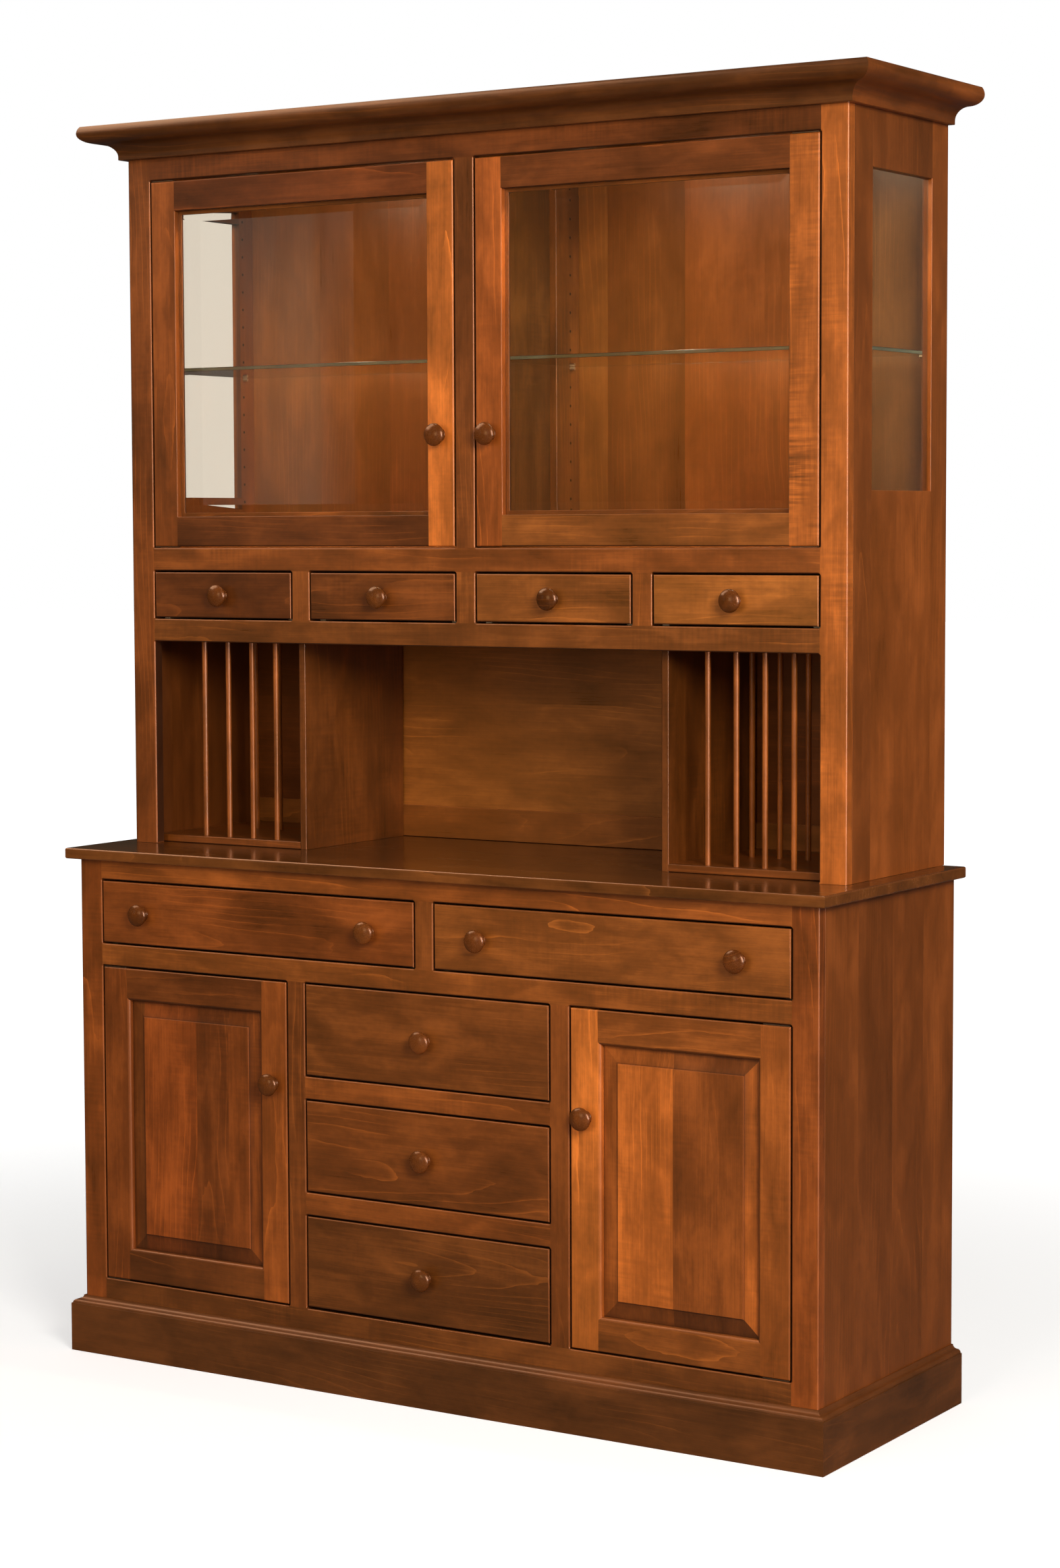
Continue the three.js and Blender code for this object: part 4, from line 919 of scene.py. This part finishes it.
def add_drawer(node, opening_height, tint, curl):
    """A front cut to its opening less the reveals, and the box that the frame has behind it."""
    low, high = corners_of(node)
    face, half = low[1], (high[0] - low[0]) / 2
    height = opening_height - 2 * REVEAL
    centre = ((low[0] + high[0]) / 2, face, high[2] - height / 2)
    front_board = stacked(2 * half, height, eased_rings(EASE, FRONT_T))
    make_piece(node + "_front", [lay(front_board, centre, X, Z, Y, plank(tint, curl))],
               maple, node, "maple", node)
    foot, top = centre[2] - opening_height / 2 + SEAT, centre[2] + opening_height / 2 - HEADROOM
    near_y, far_y, inner = face + FRONT_T, high[1], half - BOX_PLAY
    x0, x1 = centre[0] - inner, centre[0] + inner
    in0, in1 = x0 + BOX_WALL, x1 - BOX_WALL
    walls = [
        plain_board(corner, far, along, thin, 0.001, plank(tone(1), 0.1))
        for corner, far, along, thin in (
            ((x0, near_y, foot), (in0, far_y, top), 1, 0), ((in1, near_y, foot), (x1, far_y, top), 1, 0),
            ((in0, far_y - BOX_WALL, foot), (in1, far_y, top), 0, 1))
    ]
    bottom = plain_board((in0, near_y, foot + BOTTOM_RISE), (in1, far_y - BOX_WALL, foot + BOTTOM_TOP),
                         0, 2, FINE_EASE, plank(tone(1.05), 0))
    make_piece(node + "_box", [*walls, bottom], pale_maple, node, "plain_maple")


for kind, height, curl, knobs, tints in (
    ("wide_drawer", WIDE_DRAWER, 0.1, ("_knob_1", "_knob_2"),
     {"left": tone(0.9, 0.06), "right": tone(0.99, -0.1)}),
    ("middle_drawer", stack_height, 0.1, ("_knob",),
     {1: tone(0.77, -0.07), 2: tone(0.8, -0.02), 3: tone(0.58, -0.1)}),
    ("small_drawer", SMALL_DRAWER, 0.2, ("_knob",),
     {1: tone(0.52, 0.04), 2: tone(0.68), 3: tone(1.06, -0.13), 4: tone(1.57, -0.18)}),
):
    for which, tint in tints.items():
        node = f"{kind}_{which}"
        add_drawer(node, height, tint, curl)
        for knob in knobs:
            add_knob(node + knob, node)

# Cupboard doors of the buffet
# Stile and rail frames with a quarter-round stick worked on their inner edges round a raised panel:
# a flat field, a small step and a sloped margin, stick and margin mitred at their corners.

DOOR_T, STILE_W, STICK = 0.02, 0.056, 0.005
STICK_SHAPE = np.concatenate([arc((0.0, STICK), (STICK, STICK), -1, 0, 6), [[STICK, 0.0098]]])


def add_door_frame(node, body, tints, curls, inner_edge):
    """The frame of a door, its outer edges eased, where the frame model has it."""
    low, high = corners_of(node)
    outer = u0, u1, v0, v1 = low[0], high[0], low[2], high[2]
    flat = STILE_W - STICK
    members = framing(outer, (u0 + flat, u1 - flat, v0 + flat, v1 - flat), inner_edge, DOOR_T,
                      [plank(t, c) for t, c in zip(tints, curls)], EASE)
    make_piece(node + "_joined", lay_framing(members, X, Z, Y, np.array([0, low[1], 0])),
               maple, body, "maple", node)
    return outer


for side, frame_tints, strips, panel_tints, margin_shading in (
    ("left", (tone(0.88, 0.08), tone(1.18, 0.05), tone(0.55, -0.03), tone(0.62, 0.02)), (-0.114, 0.002, 0.07),
     (tone(0.85), tone(1.08, 0.16), tone(0.7, 0.08), tone(0.96, 0.09)), (0.88, 0.97, 0.5, 0.81)),
    ("right", (tone(2.2, -0.03), tone(1.36, 0.01), tone(0.91, -0.06), tone(1.06, -0.04)), (-0.012,),
     (tone(1.87, 0.02), tone(0.98, 0.03)), (0.78, 1.87, 0.38, 0.64)),
):
    body = f"base_door_{side}"
    u0, u1, v0, v1 = add_door_frame(body + "_frame", body, frame_tints, (0.1, 0.2, 0.1, 0.1), STICK_SHAPE)
    reach, margin, face = 0.0035, 0.028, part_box(body + "_panel")[0].y - 0.005
    size = (v1 - v0 - 2 * STILE_W + 2 * reach, u1 - u0 - 2 * STILE_W + 2 * reach)
    inner = reach + margin
    # The round of the step at the field's edge gets the painted edge highlight or shade; painted shade lies
    # at the step's foot and darkens the margin towards the stick
    rings = [(inner + 0.0012, 0.005, 0), (inner + 0.0004, 0.0053, 1), (inner, 0.006, 1),
             (inner - 0.0001, 0.0066, 0), (inner - 0.0005, 0.0072, -0.7), (inner - 0.003, 0.0077, -0.25),
             (reach + 0.018, 0.0088, -0.1), (reach + 0.007, 0.0097, -0.15), (reach + 0.0015, 0.0102, -0.5),
             (reach, 0.0103, -1), (0, 0.0103, 0), (0, 0.0153, 0)]
    raised = stacked(*size, rings, cuts=strips)
    boards = [plank(t, 0.3) for t in panel_tints]
    # Painted light and shade on the margins: lighter or darker than the field by how they face the light,
    # listed upper, right, lower and left
    n = len(boards)
    around = raised["boards"][0].reshape(-1, 2 * n + 2)
    for turn, columns in enumerate((slice(n + 1, 2 * n + 1), n, slice(n), 2 * n + 1), 1):
        around[4:, columns] += turn * n
    for share in margin_shading:
        boards += [{**b, "tint": tuple(share * v for v in b["tint"])} for b in boards[:n]]
    make_piece(body + "_raised_panel", [lay(raised, ((u0 + u1) / 2, face, (v0 + v1) / 2), Z, X, Y, *boards)],
               maple, body, "maple", body + "_panel", sharp=25)
    add_knob(body + "_knob", body)

# Glazed doors of the hutch
# Frames with plain inner edges round a pane of plate glass that has a 20 mm bevel all round; maple
# beads pinned inside the frame hold the pane from behind.

GLAZED_W, PANE_REACH, PANE_FACE, PANE_BACK, BEAD_FACE = STILE_W - STICK + SOFT, 0.001, 0.0103, 0.0133, 0.0138
GLASS_BEVEL, BEAD_W = 0.02, 0.007
for side, frame_tints, curls in (
    ("left", (tone(1.15, 0.06), tone(2.5), tone(0.56, 0.03), tone(0.64, 0.14)), (0.1, 0.1, 0.1, 0.1)),
    ("right", (tone(1.53, 0.1), tone(1.55), tone(1.12, -0.12), tone(0.61, 0.06)), (0.1, 1.3, 0.1, 0.1)),
):
    body = f"hutch_door_{side}"
    u0, u1, v0, v1 = add_door_frame(body + "_frame", body, frame_tints, curls, SOFT_EDGE)
    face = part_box(body + "_frame")[0].y
    size = (v1 - v0 - 2 * GLAZED_W + 2 * PANE_REACH, u1 - u0 - 2 * GLAZED_W + 2 * PANE_REACH)
    pane = stacked(*size, [(GLASS_BEVEL + PANE_REACH, 0.0083, 0), (PANE_REACH, PANE_FACE, 0),
                           (0, PANE_FACE, 0), (0, PANE_BACK, 0)])
    make_piece(body + "_bevelled_pane", [lay(pane, ((u0 + u1) / 2, face, (v0 + v1) / 2), Z, X, Y)],
               glass, body, "glass", body + "_glass", sharp=1)
    near, worn = rounded_section(BEAD_W, DOOR_T - BEAD_FACE, 0.0008, 0.002)
    x0, x1, z0, z1 = u0 + GLAZED_W, u1 - GLAZED_W, v0 + GLAZED_W, v1 - GLAZED_W
    beads = []
    for at, way, start, stop, along, across in ((x0, 1, z0, z1, Z, X), (x1, -1, z0, z1, Z, X),
                                                (z0, 1, x0, x1, X, Z), (z1, -1, x0, x1, X, Z)):
        skin = prism(near, start + near[:, 0], stop - near[:, 0], worn)
        beads.append(lay(skin, np.array([0, face + BEAD_FACE, 0]) + at * across, along, way * across, Y))
    make_piece(body + "_glass_beads", beads, maple, body, "maple")
    add_knob(body + "_knob", body)

# Knife hinges
# A pair on each door, let into the top and bottom edges beside the outer stile: a flat steel leaf
# in the gap and a round pin. They stay as the frame has them, in brushed steel.

for node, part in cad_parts.items():
    if "_hinge_" in node:
        part.data.materials.clear()
        part.data.materials.append(steel)

# Studio
# A pale floor under a white surround. A soft key light at the camera's right hand and a weak fill in
# front light the wood, five lights more only give its lacquer a sheen, small warm lamps light the
# display part, and two pale cards are mirrored in its glass.


def fading_floor(name):
    """A matt pale floor. What the camera sees of it glows a little, more with the distance from the
    centre, until it is as white as the surround; other rays meet a darker floor that does not glow."""
    finish, tree, shader = new_finish(name)
    place = wired(tree, "ShaderNodeTexCoord").outputs["Object"]
    away = vector_calc(tree, "LENGTH", place, output="Value")
    glow = ramp(tree, away, 0.8, 4.0, 0.5, 1.0, interpolation_type="SMOOTHSTEP")
    seen = wired(tree, "ShaderNodeLightPath").outputs["Is Camera Ray"]
    colour = mixed_colour(tree, seen, (0.14, 0.11, 0.09, 1), (0.88, 0.88, 0.87, 1))
    rough = calc(tree, "MULTIPLY_ADD", noise(tree, place, 30.0, 4.0), 0.1, 0.7)
    feed(tree, shader, {"Base Color": colour, "Roughness": rough, "Emission Color": (1, 1, 1, 1),
                        "Emission Strength": calc(tree, "MULTIPLY", seen, glow)})
    return finish


def stage_sheet(name, corners, finish):
    """A flat sheet between four corners that belongs to the studio."""
    mesh = bpy.data.meshes.new(name)
    mesh.from_pydata(corners, [], [(0, 1, 2, 3)])
    mesh.materials.append(finish)
    made = new_object(name, mesh)
    return made


FLOOR = 40.0
floor_corners = [(-FLOOR, -FLOOR, 0), (FLOOR, -FLOOR, 0), (FLOOR, FLOOR, 0), (-FLOOR, FLOOR, 0)]
stage_sheet("studio_floor", floor_corners, fading_floor("pale_floor"))

panes = bpy.data.collections.new("clear_panes")
for piece in [o for o in bpy.data.objects if o.type == "MESH" and glass.name in o.data.materials]:
    panes.objects.link(piece)
for member in panes.collection_objects:
    member.light_linking.link_state = "EXCLUDE"


def stand(thing, right, up, back, place):
    """Sets a light or a camera at its place, turned by its own three directions."""
    matrix = np.eye(4)
    matrix[:3] = np.stack([right, up, back, place], -1)
    thing.matrix_world = Matrix(matrix.tolist())


def add_light(name, place, aim, watts, colour, size, mirrored=True, sheen_only=False):
    """A soft light at a place, turned to what it lights. Some are not mirrored in lacquer. Some only
    give lacquer its sheen: they shine on nothing else and clear panes do not show them."""
    lamp = bpy.data.lights.new(name, "AREA")
    lamp.energy = watts
    lamp.color = colour
    lamp.shape = "RECTANGLE"
    lamp.size, lamp.size_y = size
    made = new_object(name, lamp)
    place, aim = np.array(place, float), np.array(aim, float)
    back = (place - aim) / np.linalg.norm(place - aim)
    right = np.cross(Z, back)
    right = right / np.linalg.norm(right)
    stand(made, right, np.cross(back, right), back, place)
    made.visible_camera = False
    made.visible_glossy = mirrored
    made.visible_transmission = False
    if sheen_only:
        made.visible_diffuse = False
        made.light_linking.receiver_collection = panes


key_place, waist, breast = (4.3, -3.6, 3.0), (0, 0, 1.0), (0, 0, 1.1)
add_light("key_softbox", key_place, breast, 235, (1.0, 0.97, 0.92), (1.8, 1.8), mirrored=False)
add_light("gloss_softbox", key_place, breast, 190, (1.0, 0.56, 0.34), (1.3, 1.3), sheen_only=True)
add_light("edge_strip", (4.1, -1.9, 2.0), breast, 330, (1.0, 0.55, 0.33), (1.9, 2.8), sheen_only=True)
add_light("knob_glint", (4.4, -0.6, 1.15), waist, 45, (1.0, 0.97, 0.93), (0.25, 1.4), sheen_only=True)
add_light("front_gloss", (-0.6, -5.4, 2.0), waist, 20, (1.0, 0.55, 0.2), (1.4, 1.4), sheen_only=True)
add_light("ceiling_bounce", (-2.6, -0.9, 3.9), waist, 120, (1.0, 0.58, 0.34), (2.6, 2.6), sheen_only=True)
add_light("front_fill", (0.4, -5.6, 1.9), waist, 95, (1.0, 0.98, 0.95), (2.4, 2.4), mirrored=False)
for x in (-0.5, -0.18, 0.18, 0.5):
    add_light(f"display_lamp_{x:.2f}".replace("-", "m"), (x, hutch_front + 0.06, 2.118),
              (x, hutch_front + 0.13, 1.4), 1.1, (1.0, 0.84, 0.56), (0.05, 0.05))

world = bpy.data.worlds.new("white_surround")
bpy.context.scene.world = world
world.use_nodes = True
tree = world.node_tree
# What the camera sees of the surround, straight or through glass, is white. Lacquer mirrors it dim
# and warm, and the light that the wood scatters on gets about a quarter of it.
path = wired(tree, "ShaderNodeLightPath").outputs
turned_back = calc(tree, "SUBTRACT", path["Ray Depth"], path["Transmission Depth"])
seen = calc(tree, "LESS_THAN", turned_back, 1.5)
scattered = calc(tree, "GREATER_THAN", path["Diffuse Depth"], 0.5)
through = calc(tree, "MULTIPLY", seen, calc(tree, "GREATER_THAN", path["Transmission Depth"], 0.5))
level = calc(tree, "MAXIMUM", calc(tree, "MULTIPLY_ADD", scattered, 0.22, 0.05), seen)
colour = mixed_colour(tree, calc(tree, "MAXIMUM", seen, scattered), (1.0, 0.75, 0.5, 1), (1, 1, 1, 1))
colour = mixed_colour(tree, through, colour, (0.9, 0.78, 0.65, 1))
feed(tree, tree.nodes["Background"], {"Strength": level, "Color": colour})


def add_card(name, near, far, strength):
    """A pale card, upright between two corners, that only shows as a mirror image in glass. It is
    brighter and darker in upright bands."""
    finish, tree = new_finish(name)[:2]
    place = wired(tree, "ShaderNodeTexCoord").outputs["Object"]
    bands = noise(tree, vector_calc(tree, "MULTIPLY", place, (5.0, 5.0, 0.6)), 1.0, 2.0)
    bright = ramp(tree, bands, 0.35, 0.65, 0.3 * strength, strength)
    shine = wired(tree, "ShaderNodeEmission", {0: (1.0, 0.92, 0.75, 1), 1: bright})
    tree.links.new(shine.outputs[0], tree.nodes["Material Output"].inputs["Surface"])
    (x0, y0, z0), (x1, y1, z1) = near, far
    card = stage_sheet(name, [(x0, y0, z0), (x1, y1, z0), (x1, y1, z1), (x0, y0, z1)], finish)
    card.visible_camera = card.visible_diffuse = card.visible_shadow = card.visible_transmission = False


add_card("left_door_card", (-4.1, -4.67, 1.3), (-3.45, -4.67, 2.8), 0.8)
add_card("window_card", (1.7, 1.9, 1.5), (1.7, 2.42, 2.35), 0.16)

focal_pixels, photo_height, film = 4868.4, 2324, 36.0
yaw, pitch, roll = 0.5714, -0.0726, -0.0043
lens = bpy.data.cameras.new("photo_camera")
lens.sensor_width = film
lens.lens = focal_pixels / photo_height * film
lens.shift_x, lens.shift_y = 0.0226, -0.0124
lens.clip_end = 60
camera = new_object("photo_camera", lens)
forward = np.array([-math.sin(yaw) * math.cos(pitch), math.cos(yaw) * math.cos(pitch), math.sin(pitch)])
right = np.array([math.cos(yaw), math.sin(yaw), 0.0])
up = np.cross(right, forward)
right, up = math.cos(roll) * right + math.sin(roll) * up, math.cos(roll) * up - math.sin(roll) * right
stand(camera, right, up, -forward, (2.9917, -4.666, 1.4541))
bpy.context.scene.camera = camera
bpy.context.scene.view_settings.view_transform = "Standard"
